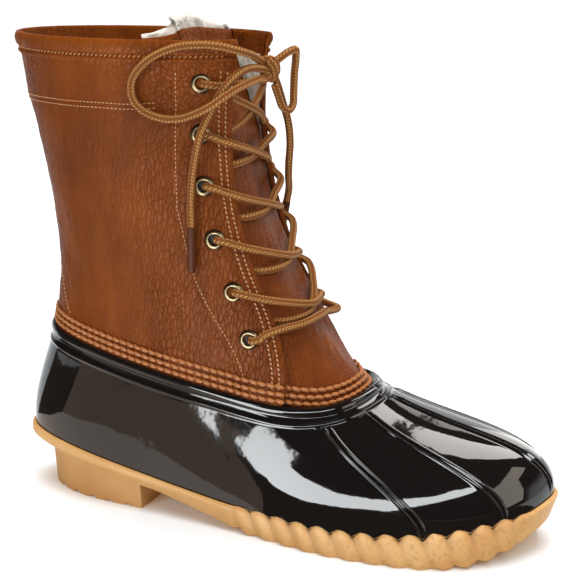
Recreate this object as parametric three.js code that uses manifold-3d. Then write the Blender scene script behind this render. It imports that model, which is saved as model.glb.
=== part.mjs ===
// Duck boot, right foot: gum sole, moulded rubber lower, leather shaft, tongue, insole, brass eyelets, lace
// Millimetres. X runs from heel to toe, Y to the medial side, Z up. The floor is at zero.

import * as THREE from 'three';
import { mergeVertices } from 'three/addons/utils/BufferGeometryUtils.js';
import Module from 'manifold-3d';

const wasm = await Module();
wasm.setup();

// Driving sizes of the last
const lastLength = 277; // feather edge, heel to toe
const ballWidth = 97; // feather edge, across the ball
const heelLift = 32; // feather edge above the floor, at the back
const rubberHeight = 88; // rim of the rubber above the floor, at the back
const shaftHeight = 238; // collar above the floor
const collarLength = 141;
const collarWidth = 80;
const collarSetBack = 77; // collar's middle behind the last's middle
const collarShift = 1.5; // and to the medial side of it
const collarSlope = 0.02; // rise of the collar towards the front

// Walls and gaps
const clearance = 0.3; // between pieces that touch
const seatGap = 0.5; // between the rubber and the sole's edge
const nestGap = 1; // between walls that lie inside one another
const rubberWall = 2.5;
const leatherWall = 2;
const tongueWall = 2.5;

// Rim of the rubber
const flangeHeight = 13; // the rubber's margin inside the leather
const flangeWall = 1.6;
const beadHeight = 4;
const beadStandOut = 1.9;
const ridgeDrop = 8; // fine ridge below the rim
const ridgeWidth = 1.6;
const ridgeStandOut = 0.8;

// Ribs over the vamp
const ribWidth = 5;
const ribFlank = 1.1;
const ribHeight = 1.3;
const ribSections = [6, 7, 8, 9, 10];

// Overlays of the leather
const eyestayStep = 0.7;
const bindingHeight = 10;
const bindingStep = 0.6;

// Eyelets
const eyeletsPerSide = 6;
const eyeletTop = 0.89; // uppermost eyelet, clear of the binding, as a share of the leather's rise
const eyeletPitch = 0.131; // and the step down to the next
const farRaise = 0.03; // how much higher the medial eyelets sit
const eyeletInset = 15; // from the throat's edge
const eyeletOuter = 5;
const eyeletBarrel = 3.1;
const eyeletBore = 2.6;
const eyeletThickness = 0.8;
const eyeletSides = 8;

// Tongue
const tongueRise = 3; // above the collar
const tongueSetBack = 28; // how far its top lies back from the throat
const throatFlatness = 0.9; // how flat the throat is at the collar

// Lace
const laceDiameter = 3.8;
const aglet = { radius: 2.1, length: 22 };
const knot = { place: [-10.5, 2, 224], deep: 8, across: 9, tall: 13 };

// Sole
const lipWidth = 1.7; // the sole's edge outside the rubber
const lipHeight = 1.2;
const scallopCrest = 2.6; // rise of the scallops over that lip
const scallopDepth = 1.5; // how far a flute is cut in
const scallopPitch = 11;
const scallopStart = 4.05; // first scallop, as a place round the foot
const scallopEnd = 7.45; // and the last
const footbedDip = 1;
const insoleThickness = 4;
const heelDraft = 2;
const heelBreast = -64; // front face of the heel block
const heelLedge = 0.8; // the heel block lies back this far under the band
const notchCount = 5;
const notchWidth = 3.4;
const notchDepth = 1.4;
const notchStart = 12; // first notch, from the back of the last
const grooveCount = 7;
const grooveWidth = 3;
const grooveDepth = 2;
const grooveStart = 0.12; // first groove of the forefoot, as a share of the last's length
const grooveEnd = 0.36; // and the last one
const grooveLength = 0.62; // of the ball's width

// The collar overhangs the heel, so the boot moves forward by this to stand over the middle of its length
const centring = 3.5;

// Sections round the foot: 0 is the back of the heel, 1 to 7 the lateral side, 8 the toe, 9 to 15 the medial side.
// x is a share of the last's length, y of the ball's width, edgeZ of the heel's lift, rimZ and the two rubber
// reaches of the rubber's height, the two leather reaches of the shaft's height. Flares and leans are in degrees.
const sectionColumns = [
  'edgeX', 'edgeY', 'edgeZ', 'rimX', 'rimY', 'rimZ', 'edgeReach', 'edgeFlare', 'rimReach', 'rimLean',
  'leatherReach', 'leatherLean', 'collarReach', 'collarFlare',
];
const sections = [
  [-0.5, 0.015, 1, -0.464, 0.015, 1, 0.205, 9, 0.205, 15, 0.193, 10, 0.235, 12],
  [-0.475, -0.21, 0.97, -0.435, -0.17, 0.983, 0.18, 9, 0.205, 15, 0.193, 12, 0.244, 10],
  [-0.366, -0.345, 0.845, -0.356, -0.29, 0.943, 0.18, 8, 0.205, 13, 0.176, 10, 0.235, 4],
  [-0.186, -0.376, 0.56, -0.226, -0.356, 0.875, 0.18, 7, 0.205, 9, 0.143, 6, 0.218, 0],
  [-0.005, -0.428, 0.375, -0.092, -0.387, 0.818, 0.193, 10, 0.205, 8, 0.13, 5, 0.202, 0],
  [0.164, -0.5, 0.33, 0.038, -0.397, 0.773, 0.205, 14, 0.205, 16, 0.134, 12, 0.21, 0],
  [0.327, -0.459, 0.438, 0.114, -0.314, 0.761, 0.227, 12, 0.295, 42, 0.143, 30, 0.252, 2],
  [0.446, -0.253, 0.625, 0.157, -0.16, 0.784, 0.284, 8, 0.432, 58, 0.164, 42, 0.303, 6],
  [0.5, 0.057, 0.797, 0.171, 0.036, 0.807, 0.341, 3, 0.545, 63, 0.193, 50, 0.328, 10],
  [0.468, 0.294, 0.72, 0.153, 0.211, 0.784, 0.33, 8, 0.489, 58, 0.21, 45, 0.336, 9],
  [0.363, 0.459, 0.516, 0.11, 0.356, 0.767, 0.273, 11, 0.341, 44, 0.193, 28, 0.328, 6],
  [0.218, 0.5, 0.39, 0.023, 0.418, 0.778, 0.227, 12, 0.227, 22, 0.15, 12, 0.26, 3],
  [0.06, 0.428, 0.42, -0.099, 0.397, 0.824, 0.205, 9, 0.205, 9, 0.13, 4, 0.21, 1],
  [-0.128, 0.345, 0.547, -0.229, 0.356, 0.898, 0.205, 6, 0.205, 7, 0.126, 4, 0.21, 2],
  [-0.323, 0.351, 0.797, -0.356, 0.309, 0.955, 0.193, 9, 0.205, 12, 0.143, 8, 0.21, 6],
  [-0.457, 0.242, 0.97, -0.433, 0.196, 0.99, 0.193, 10, 0.205, 15, 0.168, 10, 0.227, 11],
];
const around = sections.length;

// Lines of the throat, on the leather's rise from rim to collar: edge of each quarter, back line of each eyestay
// and side edges of the tongue, as places round the foot
const throatColumns = ['rise', 'nearEdge', 'farEdge', 'nearStay', 'farStay', 'tongueNear', 'tongueFar'];
const throatLines = [
  [0, 5.15, 10.85, 4.5, 11.5, 4.7, 11.3],
  [0.15, 5.34, 10.66, 4.42, 11.58, 4.85, 11.15],
  [0.3, 5.47, 10.6, 4.28, 11.72, 4.95, 11.05],
  [0.45, 5.48, 10.6, 4.24, 11.76, 5.0, 11.0],
  [0.6, 5.7, 10.35, 4.45, 11.55, 5.3, 10.7],
  [0.75, 6.06, 9.95, 4.82, 11.18, 5.8, 10.0],
  [0.88, 6.35, 9.74, 5.08, 10.92, 6.1, 9.9],
  [1, 6.52, 9.6, 5.2, 10.8, 6.3, 9.8],
];

// Underside of the sole: place along the last as a share of its length, height of the sole's lower edge as a
// share of the heel's lift, and how far that edge stands out from the feather edge, in millimetres
const soleColumns = ['along', 'underside', 'standOut'];
const soleLines = [
  [-0.5, 0.69, -9],
  [-0.47, 0.67, -7],
  [-0.4, 0.6, -3.4],
  [-0.3, 0.5, -1.2],
  [-0.2, 0.39, -0.4],
  [-0.1, 0.21, 0],
  [0, 0.03, 1],
  [0.07, 0, 1.6],
  [0.12, 0, 1.8],
  [0.33, 0, 1.4],
  [0.4, 0.06, 0.8],
  [0.46, 0.22, -0.6],
  [0.5, 0.42, -1.6],
];

// Routes of the bow's free cords, from the knot outwards, in millimetres
const nearLoopRoute = [
  [-14.5, -4.5, 229], [-13.5, -12, 232], [-13, -19, 233.5], [-15.5, -26, 235.5], [-22, -31.5, 237.5], [-30, -34.5, 238],
  [-41.5, -38.5, 236.5], [-54.5, -41, 230], [-62.5, -41, 220.5], [-62.5, -41, 212], [-57.5, -41, 206.5],
  [-47.5, -40, 203], [-38, -39.5, 203.5], [-29.5, -40, 206.5], [-22, -39.5, 210.5], [-17, -37, 214.5],
  [-13, -31, 218], [-10.5, -22, 220], [-10.5, -12, 220.5], [-12, -5, 219],
];
const nearEndRoute = [
  [-12, -4.5, 224.5], [-12.5, -12, 226], [-13.5, -20, 226], [-15.5, -27.5, 223.5], [-18.5, -32.5, 218.5],
  [-22, -34.5, 212], [-25.5, -36.5, 204], [-27.5, -40, 197], [-29.5, -40.5, 188], [-31.5, -40, 178],
  [-32.5, -40, 165], [-32, -40.5, 152],
];
const farLoopRoute = [
  [-8, 7.5, 228], [-4, 10, 232], [-2, 14, 233], [-4, 18, 226.5], [-5, 20, 218], [-4.5, 19, 210],
  [-2, 16, 204], [-3.5, 11, 208], [-6.5, 7, 214],
];
const farEndRoute = [
  [-10, 8, 223], [-10.5, 13, 215], [-9.5, 17.5, 206], [-7.5, 20, 196], [-7, 21.5, 186], [-8.5, 24, 175],
  [-11, 30, 167], [-15, 40.5, 158], [-16.5, 41.5, 151.5],
];

// Materials
const gumRubber = new THREE.MeshStandardMaterial({ color: 0xdca862, roughness: 0.6, metalness: 0 });
const glossRubber = new THREE.MeshStandardMaterial({ color: 0x14110f, roughness: 0.12, metalness: 0 });
const brownLeather = new THREE.MeshStandardMaterial({ color: 0x9c5a2c, roughness: 0.5, metalness: 0 });
const tongueLeather = new THREE.MeshStandardMaterial({ color: 0x8a4c24, roughness: 0.55, metalness: 0 });
const insoleCloth = new THREE.MeshStandardMaterial({ color: 0xe6dcc8, roughness: 0.95, metalness: 0 });
const agedBrass = new THREE.MeshStandardMaterial({ color: 0x8f7a4c, roughness: 0.35, metalness: 1 });
const laceCord = new THREE.MeshStandardMaterial({ color: 0xa8692f, roughness: 0.8, metalness: 0 });
const agletPlastic = new THREE.MeshStandardMaterial({ color: 0x5a3217, roughness: 0.4, metalness: 0 });

// Smooth values between the rows of a table, closed round the foot or open along it
function blendFour(a, b, c, d, t) {
  return b + 0.5 * t * (c - a + t * (2 * a - 5 * b + 4 * c - d + t * (3 * (b - c) + d - a)));
}

function sectionAt(u) {
  const wrapped = THREE.MathUtils.euclideanModulo(u, around);
  const first = Math.floor(wrapped);
  const rows = [-1, 0, 1, 2].map((step) => sections[(first + step + around) % around]);
  const values = {};
  sectionColumns.forEach((name, column) => {
    const [a, b, c, d] = rows.map((row) => row[column]);
    values[name] = blendFour(a, b, c, d, wrapped - first);
  });
  return values;
}

function lineAt(lines, columns, place) {
  const last = lines.length - 1;
  let first = 0;
  while (first < last - 1 && place > lines[first + 1][0]) first += 1;
  const t = (place - lines[first][0]) / (lines[first + 1][0] - lines[first][0]);
  const values = {};
  columns.forEach((name, column) => {
    const b = lines[first][column];
    const c = lines[first + 1][column];
    const a = first > 0 ? lines[first - 1][column] : 2 * b - c;
    const d = first < last - 1 ? lines[first + 2][column] : 2 * c - b;
    const held = THREE.MathUtils.clamp(t, 0, 1);
    values[name] = blendFour(a, b, c, d, held) + (t - held) * (c - b);
  });
  return values;
}

const throatAt = (rise) => lineAt(throatLines, throatColumns, rise);
const soleAt = (x) => lineAt(soleLines, soleColumns, x / lastLength);

// The three closed lines that the upper hangs on
function featherEdge(u) {
  const row = sectionAt(u);
  return new THREE.Vector3(row.edgeX * lastLength, row.edgeY * ballWidth, row.edgeZ * heelLift);
}

function rimLine(u) {
  const row = sectionAt(u);
  return new THREE.Vector3(row.rimX * lastLength, row.rimY * ballWidth, row.rimZ * rubberHeight);
}

function collarLine(u) {
  const turn = Math.PI + (u / around) * 2 * Math.PI;
  const forward = 0.5 * collarLength * Math.cos(turn);
  const side = 0.5 * collarWidth * Math.sin(turn);
  return new THREE.Vector3(forward - collarSetBack, side + collarShift, shaftHeight + collarSlope * forward);
}

function outward(line, u) {
  const way = line(u + 0.01).sub(line(u - 0.01));
  return new THREE.Vector3(way.y, -way.x, 0).normalize();
}

// A direction that rises and leans outwards by an angle
function rising(out, degrees) {
  const angle = THREE.MathUtils.degToRad(degrees);
  return new THREE.Vector3(out.x * Math.sin(angle), out.y * Math.sin(angle), Math.cos(angle));
}

function bezier(a, b, c, d, s) {
  const r = 1 - s;
  return a.clone().multiplyScalar(r * r * r)
    .addScaledVector(b, 3 * r * r * s)
    .addScaledVector(c, 3 * r * s * s)
    .addScaledVector(d, s * s * s);
}

// Outer surface of the rubber lower, from feather edge to rim
function rubberSurface(u, s) {
  const row = sectionAt(u);
  const start = featherEdge(u);
  const end = rimLine(u);
  const up = rising(outward(featherEdge, u), row.edgeFlare);
  const over = rising(outward(rimLine, u), -row.rimLean);
  const second = start.clone().addScaledVector(up, row.edgeReach * rubberHeight);
  const third = end.clone().addScaledVector(over, -row.rimReach * rubberHeight);
  return bezier(start, second, third, end, s);
}

// Outer surface of the leather, from rim to collar
function leatherSurface(u, s) {
  const row = sectionAt(u);
  const start = rimLine(u);
  const end = collarLine(u);
  const up = rising(outward(rimLine, u), -row.leatherLean);
  const over = rising(outward(collarLine, u), row.collarFlare);
  const second = start.clone().addScaledVector(up, row.leatherReach * shaftHeight);
  const third = end.clone().addScaledVector(over, -row.collarReach * shaftHeight);
  return bezier(start, second, third, end, s);
}

// The same surface drawn flatter between the two edges of the throat, as the laced tongue lies
function throatSurface(u, s) {
  const lines = throatAt(s);
  const share = (u - lines.nearEdge) / (lines.farEdge - lines.nearEdge);
  const point = leatherSurface(u, s);
  if (share <= 0 || share >= 1) return point;
  const chord = leatherSurface(lines.nearEdge, s).lerp(leatherSurface(lines.farEdge, s), share);
  return point.lerp(chord, throatFlatness * THREE.MathUtils.smoothstep(s, 0.2, 0.9));
}

function normalOf(surface, u, s) {
  const step = 0.004;
  const alongU = surface(u + step, s).sub(surface(u - step, s));
  const alongS = surface(u, s + step).sub(surface(u, s - step));
  return alongU.cross(alongS).normalize();
}

function lifted(surface, u, s, lift) {
  return surface(u, s).addScaledVector(normalOf(surface, u, s), lift);
}

// Millimetres for one step round the foot, at a place on a surface
function stretch(surface, u, s) {
  const step = 0.01;
  return surface(u + step, s).distanceTo(surface(u - step, s)) / (2 * step);
}

const riseBelowRim = (u, drop) => 1 - drop / (3 * sectionAt(u).rimReach * rubberHeight);
const riseAboveRim = (u, height) => height / (3 * sectionAt(u).leatherReach * shaftHeight);
const riseBelowCollar = (u, drop) => 1 - drop / (3 * sectionAt(u).collarReach * shaftHeight);
const belowRim = (u, drop, lift) => lifted(rubberSurface, u, riseBelowRim(u, drop), lift);
const aboveRim = (u, height, lift) => lifted(leatherSurface, u, riseAboveRim(u, height), lift);

// Closed meshes
function closedGeometry(points, triangles) {
  const positions = new Float32Array(points.length * 3);
  points.forEach((point, i) => point.toArray(positions, 3 * i));
  let volume = 0;
  for (const [a, b, c] of triangles) volume += points[a].dot(points[b].clone().cross(points[c]));
  const index = volume > 0 ? triangles.flat() : triangles.map(([a, b, c]) => [a, c, b]).flat();
  const geometry = new THREE.BufferGeometry();
  geometry.setAttribute('position', new THREE.BufferAttribute(positions, 3));
  geometry.setIndex(index);
  return mergeVertices(geometry, 1e-4);
}

function joinLoops(triangles, first, second, count) {
  for (let j = 0; j < count; j += 1) {
    const next = (j + 1) % count;
    triangles.push([first + j, second + j, second + next], [first + j, second + next, first + next]);
  }
}

// Closed profiles that follow one another round a ring
function ringOfProfiles(profiles) {
  const count = profiles[0].length;
  const triangles = [];
  profiles.forEach((_, i) => joinLoops(triangles, i * count, ((i + 1) % profiles.length) * count, count));
  return closedGeometry(profiles.flat(), triangles);
}

// Closed profiles in a row, each with as many points outside as inside, closed at both ends
function rowOfProfiles(profiles) {
  const count = profiles[0].length;
  const triangles = [];
  for (let i = 0; i + 1 < profiles.length; i += 1) joinLoops(triangles, i * count, (i + 1) * count, count);
  const lastStart = (profiles.length - 1) * count;
  for (let j = 0; j + 1 < count / 2; j += 1) {
    const k = count - 1 - j;
    triangles.push([j, j + 1, k - 1], [j, k - 1, k]);
    triangles.push([lastStart + j, lastStart + k - 1, lastStart + j + 1], [lastStart + j, lastStart + k, lastStart + k - 1]);
  }
  return closedGeometry(profiles.flat(), triangles);
}

function solidOf(geometry) {
  const bare = geometry.index ? geometry.clone() : mergeVertices(geometry);
  bare.deleteAttribute('normal');
  bare.deleteAttribute('uv');
  const merged = mergeVertices(bare, 1e-4);
  return new wasm.Manifold(new wasm.Mesh({
    numProp: 3,
    vertProperties: new Float32Array(merged.attributes.position.array),
    triVerts: new Uint32Array(merged.index.array),
  }));
}

function geometryOf(solid) {
  const result = solid.getMesh();
  const geometry = new THREE.BufferGeometry();
  geometry.setAttribute('position', new THREE.BufferAttribute(new Float32Array(result.vertProperties), 3));
  geometry.setIndex(new THREE.BufferAttribute(new Uint32Array(result.triVerts), 1));
  return geometry;
}

function evenly(from, to, count) {
  return Array.from({ length: count }, (_, i) => from + ((to - from) * i) / (count - 1));
}

// Rubber lower: places round the foot, with four columns at each rib
function rubberColumns() {
  const columns = [];
  const half = 0.5 * ribWidth;
  const plain = (u) => columns.push({ u, aside: 0, rib: 0 });
  evenly(0, 5.6, 14).forEach(plain);
  ribSections.forEach((u) => {
    columns.push({ u, aside: -half - ribFlank, rib: 0 }, { u, aside: -half, rib: 1 });
    columns.push({ u, aside: half, rib: 1 }, { u, aside: half + ribFlank, rib: 0 });
    if (u < ribSections.at(-1)) [u + 0.36, u + 0.64].forEach(plain);
  });
  evenly(10.4, 15.57, 13).forEach(plain);
  return columns;
}

// How deep the flange lies under the leather: deeper where the tongue lies between them
function flangeDepth(u) {
  const { tongueNear, tongueFar } = throatAt(0);
  const near = THREE.MathUtils.smoothstep(u, tongueNear - 1.2, tongueNear - 0.45);
  const far = THREE.MathUtils.smoothstep(u, tongueFar + 0.45, tongueFar + 1.2);
  return leatherWall + nestGap + (near - far) * (tongueWall + nestGap);
}

function rubberProfile({ u: middle, aside, rib }) {
  const wallRises = [0, 0.05, 0.13, 0.24, 0.36, 0.48, 0.6, 0.72, 0.86, 1];
  const innerRises = [0.86, 0.66, 0.44, 0.22, 0];
  const top = riseBelowRim(middle, ridgeDrop + ridgeWidth);
  const placeAt = (s) => middle + (aside ? aside / stretch(rubberSurface, middle, s) : 0);
  const ribAt = (share) => {
    const foot = THREE.MathUtils.smoothstep(share, 0.02, 0.16);
    const head = 1 - THREE.MathUtils.smoothstep(share, 0.9, 0.99);
    return rib * ribHeight * foot * head;
  };
  const outer = wallRises.map((share) => lifted(rubberSurface, placeAt(share * top), share * top, ribAt(share)));
  const u = placeAt(1);
  const depth = flangeDepth(u);
  const rim = [
    belowRim(u, ridgeDrop + 0.3 * ridgeWidth, ridgeStandOut),
    belowRim(u, ridgeDrop - 0.3 * ridgeWidth, ridgeStandOut),
    belowRim(u, ridgeDrop - ridgeWidth, 0),
    belowRim(u, beadHeight, 0),
    belowRim(u, 0.85 * beadHeight, 0.75 * beadStandOut),
    belowRim(u, 0.45 * beadHeight, beadStandOut),
    belowRim(u, 0.05 * beadHeight, 0.9 * beadStandOut),
    aboveRim(u, 0, 0.5 * beadStandOut),
    aboveRim(u, 0, -depth),
    aboveRim(u, flangeHeight, -depth),
    aboveRim(u, flangeHeight, -depth - flangeWall),
    aboveRim(u, 0, -depth - flangeWall),
  ];
  const inner = innerRises.map((share) => lifted(rubberSurface, placeAt(share * top), share * top, -rubberWall));
  return [...outer, ...rim, ...inner];
}

function rubberShell() {
  return ringOfProfiles(rubberColumns().map(rubberProfile));
}

// Leather shaft: a wall open at the throat, with the eyestays and the collar's binding as steps
function leatherColumns() {
  const stitchGap = 0.03;
  const back = evenly(0, 1, 10);
  const front = [0, 0.35, 0.7, 1];
  const columns = [];
  const half = (sign, edge, stay) => {
    const edgeAt = (s) => sign * (sign > 0 ? throatAt(s)[edge] : around - throatAt(s)[edge]);
    const stayAt = (s) => sign * (sign > 0 ? throatAt(s)[stay] : around - throatAt(s)[stay]);
    const list = back.map((share) => ({ at: (s) => share * (stayAt(s) - sign * stitchGap), stay: 0 }));
    front.forEach((share) => list.push({
      at: (s) => stayAt(s) + sign * stitchGap + share * (edgeAt(s) - stayAt(s) - sign * stitchGap),
      stay: 1,
    }));
    return list;
  };
  const near = half(1, 'nearEdge', 'nearStay');
  const far = half(-1, 'farEdge', 'farStay');
  columns.push(...far.slice(1).reverse(), ...near);
  return columns;
}

function leatherProfile(column) {
  const rises = [0.05, 0.13, 0.22, 0.31, 0.4, 0.49, 0.58, 0.67, 0.76, 0.84];
  const foot = riseAboveRim(column.at(0), clearance);
  const underBinding = riseBelowCollar(column.at(1), bindingHeight + 0.5);
  const binding = riseBelowCollar(column.at(1), bindingHeight);
  const rows = [foot, ...rises, underBinding, binding, 1].map((s, i, all) => ({
    s,
    lift: column.stay * eyestayStep + (i >= all.length - 2 ? bindingStep : 0),
  }));
  const outer = rows.map(({ s, lift }) => lifted(leatherSurface, column.at(s), s, lift));
  const inner = rows.map(({ s }) => lifted(leatherSurface, column.at(s), s, -leatherWall)).reverse();
  return [...outer, ...inner];
}

// Eyelets: place and direction of each, lowest first, near side then far side
function eyeletPlaces() {
  const places = [];
  for (const side of ['near', 'far']) {
    for (let i = 0; i < eyeletsPerSide; i += 1) {
      const s = eyeletTop - eyeletPitch * (eyeletsPerSide - 1 - i) + (side === 'far' ? farRaise : 0);
      const edge = throatAt(s)[`${side}Edge`];
      const inwards = side === 'near' ? -1 : 1;
      const u = edge + (inwards * eyeletInset) / stretch(leatherSurface, edge + 0.3 * inwards, s);
      places.push({ side, number: i + 1, u, s });
    }
  }
  return places;
}

function standOn(geometry, surface, u, s) {
  const turn = new THREE.Quaternion().setFromUnitVectors(new THREE.Vector3(0, 1, 0), normalOf(surface, u, s));
  return geometry.applyQuaternion(turn).translate(...surface(u, s).toArray());
}

function eyeletGeometry({ u, s }) {
  const seat = eyestayStep + clearance;
  const profile = [
    [eyeletBore, -leatherWall],
    [eyeletBarrel, -leatherWall],
    [eyeletBarrel, seat],
    [eyeletOuter, seat],
    [eyeletBore, seat + eyeletThickness],
    [eyeletBore, -leatherWall],
  ].map(([radius, height]) => new THREE.Vector2(radius, height));
  return standOn(new THREE.LatheGeometry(profile, eyeletSides), leatherSurface, u, s);
}

function eyeletHole({ u, s }) {
  const length = 4 * leatherWall;
  const radius = eyeletBarrel + clearance;
  return standOn(new THREE.CylinderGeometry(radius, radius, length, eyeletSides), leatherSurface, u, s);
}

function leatherShaft(places) {
  let wall = solidOf(rowOfProfiles(leatherColumns().map(leatherProfile)));
  places.forEach((place) => { wall = wall.subtract(solidOf(eyeletHole(place))); });
  return geometryOf(wall);
}

// Tongue: under both quarters at the foot, fallen back from the throat at the collar
function tongueProfile(share) {
  const rises = [0.06, 0.15, 0.25, 0.35, 0.45, 0.55, 0.65, 0.75, 0.85, 0.93, 1];
  const placeAt = (s) => {
    const lines = throatAt(Math.min(s, 1));
    return THREE.MathUtils.lerp(lines.tongueNear, lines.tongueFar, share);
  };
  const foot = riseAboveRim(placeAt(0), 3 * clearance);
  const crown = 1 + (tongueRise * (0.6 + 0.4 * Math.sin(Math.PI * share))) / (0.75 * shaftHeight);
  const rows = [foot, ...rises, crown];
  const pointAt = (s, depth) => {
    const point = lifted(throatSurface, placeAt(s), s, -depth);
    point.x -= tongueSetBack * THREE.MathUtils.smoothstep(s, 0.45, 1.05);
    return point;
  };
  const outer = rows.map((s) => pointAt(s, leatherWall + nestGap));
  const inner = rows.map((s) => pointAt(s, leatherWall + nestGap + tongueWall)).reverse();
  return [...outer, ...inner];
}

function tongueGeometry() {
  return rowOfProfiles(evenly(0, 1, 11).map(tongueProfile));
}

// Lace: tubes along smooth routes
function tube(points, radius, steps, sides) {
  const shape = new THREE.Shape(evenly(0, 2 * Math.PI, sides + 1).slice(0, -1)
    .map((turn) => new THREE.Vector2(radius * Math.cos(turn), radius * Math.sin(turn))));
  const route = new THREE.CatmullRomCurve3(points, false, 'centripetal');
  return new THREE.ExtrudeGeometry(shape, { steps, bevelEnabled: false, extrudePath: route });
}

// A strand that leaves the throat under one quarter and ends over the eyelet of the other
function crossingRoute(from, to, edgeFrom, edgeTo) {
  const radius = 0.5 * laceDiameter;
  const low = radius - leatherWall;
  const overStay = eyestayStep + 2 * clearance + radius;
  const overEyelet = overStay + eyeletThickness + 2 * clearance;
  const way = Math.sign(to.u - from.u);
  const inside = (edge, s, gap) => edge + (way * gap) / stretch(throatSurface, edge + 0.3 * way, s);
  const climb = to.s - from.s;
  const startU = inside(edgeFrom, from.s, radius + 1);
  const endU = inside(edgeTo, to.s, -radius - 0.6);
  const point = (share, s, lift) => lifted(throatSurface, THREE.MathUtils.lerp(startU, endU, share), s, lift);
  return [
    point(0, from.s + 0.26 * climb, low + 1.1),
    point(0.25, from.s + 0.38 * climb, low + 1.2),
    point(0.5, from.s + 0.52 * climb, low + 1.6),
    point(0.75, from.s + 0.68 * climb, low + 2.4),
    point(1, from.s + 0.86 * climb, overStay + 0.3),
    lifted(leatherSurface, THREE.MathUtils.lerp(edgeTo, to.u, 0.5), to.s - 0.04 * climb, overEyelet),
    lifted(leatherSurface, to.u, to.s, overEyelet),
  ];
}

function laceCrossing(lower, upper) {
  const radius = 0.5 * laceDiameter;
  const strand = (from, to) => solidOf(tube(
    crossingRoute(from, to, throatAt(from.s)[`${from.side}Edge`], throatAt(to.s)[`${to.side}Edge`]), radius, 9, 6,
  ));
  return geometryOf(strand(lower.near, upper.far).add(strand(lower.far, upper.near)));
}

// A bar between the two eyelets of one level, over both quarters
function laceBar(level) {
  const radius = 0.5 * laceDiameter;
  const overStay = eyestayStep + 2 * clearance + radius;
  const overEyelet = overStay + eyeletThickness + 2 * clearance;
  const { near, far } = level;
  const nearEdge = throatAt(near.s).nearEdge;
  const farEdge = throatAt(far.s).farEdge;
  const between = (share) => THREE.MathUtils.lerp(nearEdge, farEdge, share);
  const route = [
    lifted(leatherSurface, near.u, near.s, overEyelet),
    lifted(leatherSurface, THREE.MathUtils.lerp(near.u, nearEdge, 0.5), near.s, overEyelet),
    lifted(leatherSurface, nearEdge - 0.05, near.s, overStay + 0.8),
    lifted(throatSurface, between(0.25), THREE.MathUtils.lerp(near.s, far.s, 0.25), overStay),
    lifted(throatSurface, between(0.5), THREE.MathUtils.lerp(near.s, far.s, 0.5), overStay),
    lifted(throatSurface, between(0.75), THREE.MathUtils.lerp(near.s, far.s, 0.75), overStay),
    lifted(leatherSurface, farEdge + 0.05, far.s, overStay + 0.8),
    lifted(leatherSurface, THREE.MathUtils.lerp(far.u, farEdge, 0.5), far.s, overEyelet),
    lifted(leatherSurface, far.u, far.s, overEyelet),
  ];
  return tube(route, radius, 16, 6);
}

// The uppermost crossing stays inside the throat, under both quarters
function topCrossing(lower, upper) {
  const radius = 0.5 * laceDiameter;
  const low = radius - leatherWall;
  const strand = (from, to) => {
    const edgeFrom = throatAt(from.s)[`${from.side}Edge`];
    const edgeTo = throatAt(to.s)[`${to.side}Edge`];
    const way = Math.sign(to.u - from.u);
    const startU = edgeFrom + (way * (radius + 1)) / stretch(throatSurface, edgeFrom + 0.3 * way, from.s);
    const endU = edgeTo - (way * (radius + 1)) / stretch(throatSurface, edgeTo - 0.3 * way, to.s);
    const climb = to.s - from.s;
    const route = evenly(0, 1, 4).map((share) => lifted(
      throatSurface, THREE.MathUtils.lerp(startU, endU, share), from.s + climb * (0.12 + 0.62 * share), low,
    ));
    return solidOf(tube(route, radius, 8, 6));
  };
  return geometryOf(strand(lower.near, upper.far).add(strand(lower.far, upper.near)));
}

// Bow: each free cord on its own route, each end with its aglet straight beyond it
const pointsOf = (route) => route.map((place) => new THREE.Vector3(...place));

function bowCord(route) {
  return tube(pointsOf(route), 0.5 * laceDiameter, Math.round(1.4 * route.length), 6);
}

function agletOn(route) {
  const [before, end] = pointsOf(route.slice(-2));
  const way = end.clone().sub(before).normalize();
  const points = [0, 1].map((share) => end.clone().addScaledVector(way, clearance + share * aglet.length));
  return tube(points, aglet.radius, 1, 8);
}

function knotGeometry() {
  const geometry = new THREE.SphereGeometry(0.5, 10, 8);
  return geometry.scale(knot.deep, knot.across, knot.tall).translate(...knot.place);
}

// Sole: places round the foot, four to each scallop along the forefoot, the same on both sides
function soleColumnPlaces() {
  const fine = 400;
  const places = evenly(scallopStart, scallopEnd, fine);
  const lengths = [0];
  for (let i = 1; i < fine; i += 1) {
    lengths.push(lengths[i - 1] + featherEdge(places[i]).distanceTo(featherEdge(places[i - 1])));
  }
  const count = Math.round(lengths.at(-1) / scallopPitch);
  const quarters = 4 * count;
  const lateral = [...evenly(0, scallopStart, 14).slice(0, -1).map((u) => ({ u, phase: 0, depth: 0 }))];
  for (let k = 0; k <= quarters; k += 1) {
    const wanted = (lengths.at(-1) * k) / quarters;
    const i = Math.max(1, lengths.findIndex((length) => length >= wanted - 1e-9));
    const share = (wanted - lengths[i - 1]) / (lengths[i] - lengths[i - 1]);
    const u = THREE.MathUtils.lerp(places[i - 1], places[i], share);
    const fade = Math.min(1, (quarters - k) / 6);
    lateral.push({ u, phase: (k / 4) * 2 * Math.PI, depth: fade });
  }
  evenly(scallopEnd, 8, 4).slice(1).forEach((u) => lateral.push({ u, phase: 0, depth: 0 }));
  const medial = lateral.slice(1, -1).reverse().map((place) => ({ ...place, u: around - place.u }));
  return [...lateral, ...medial];
}

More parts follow.
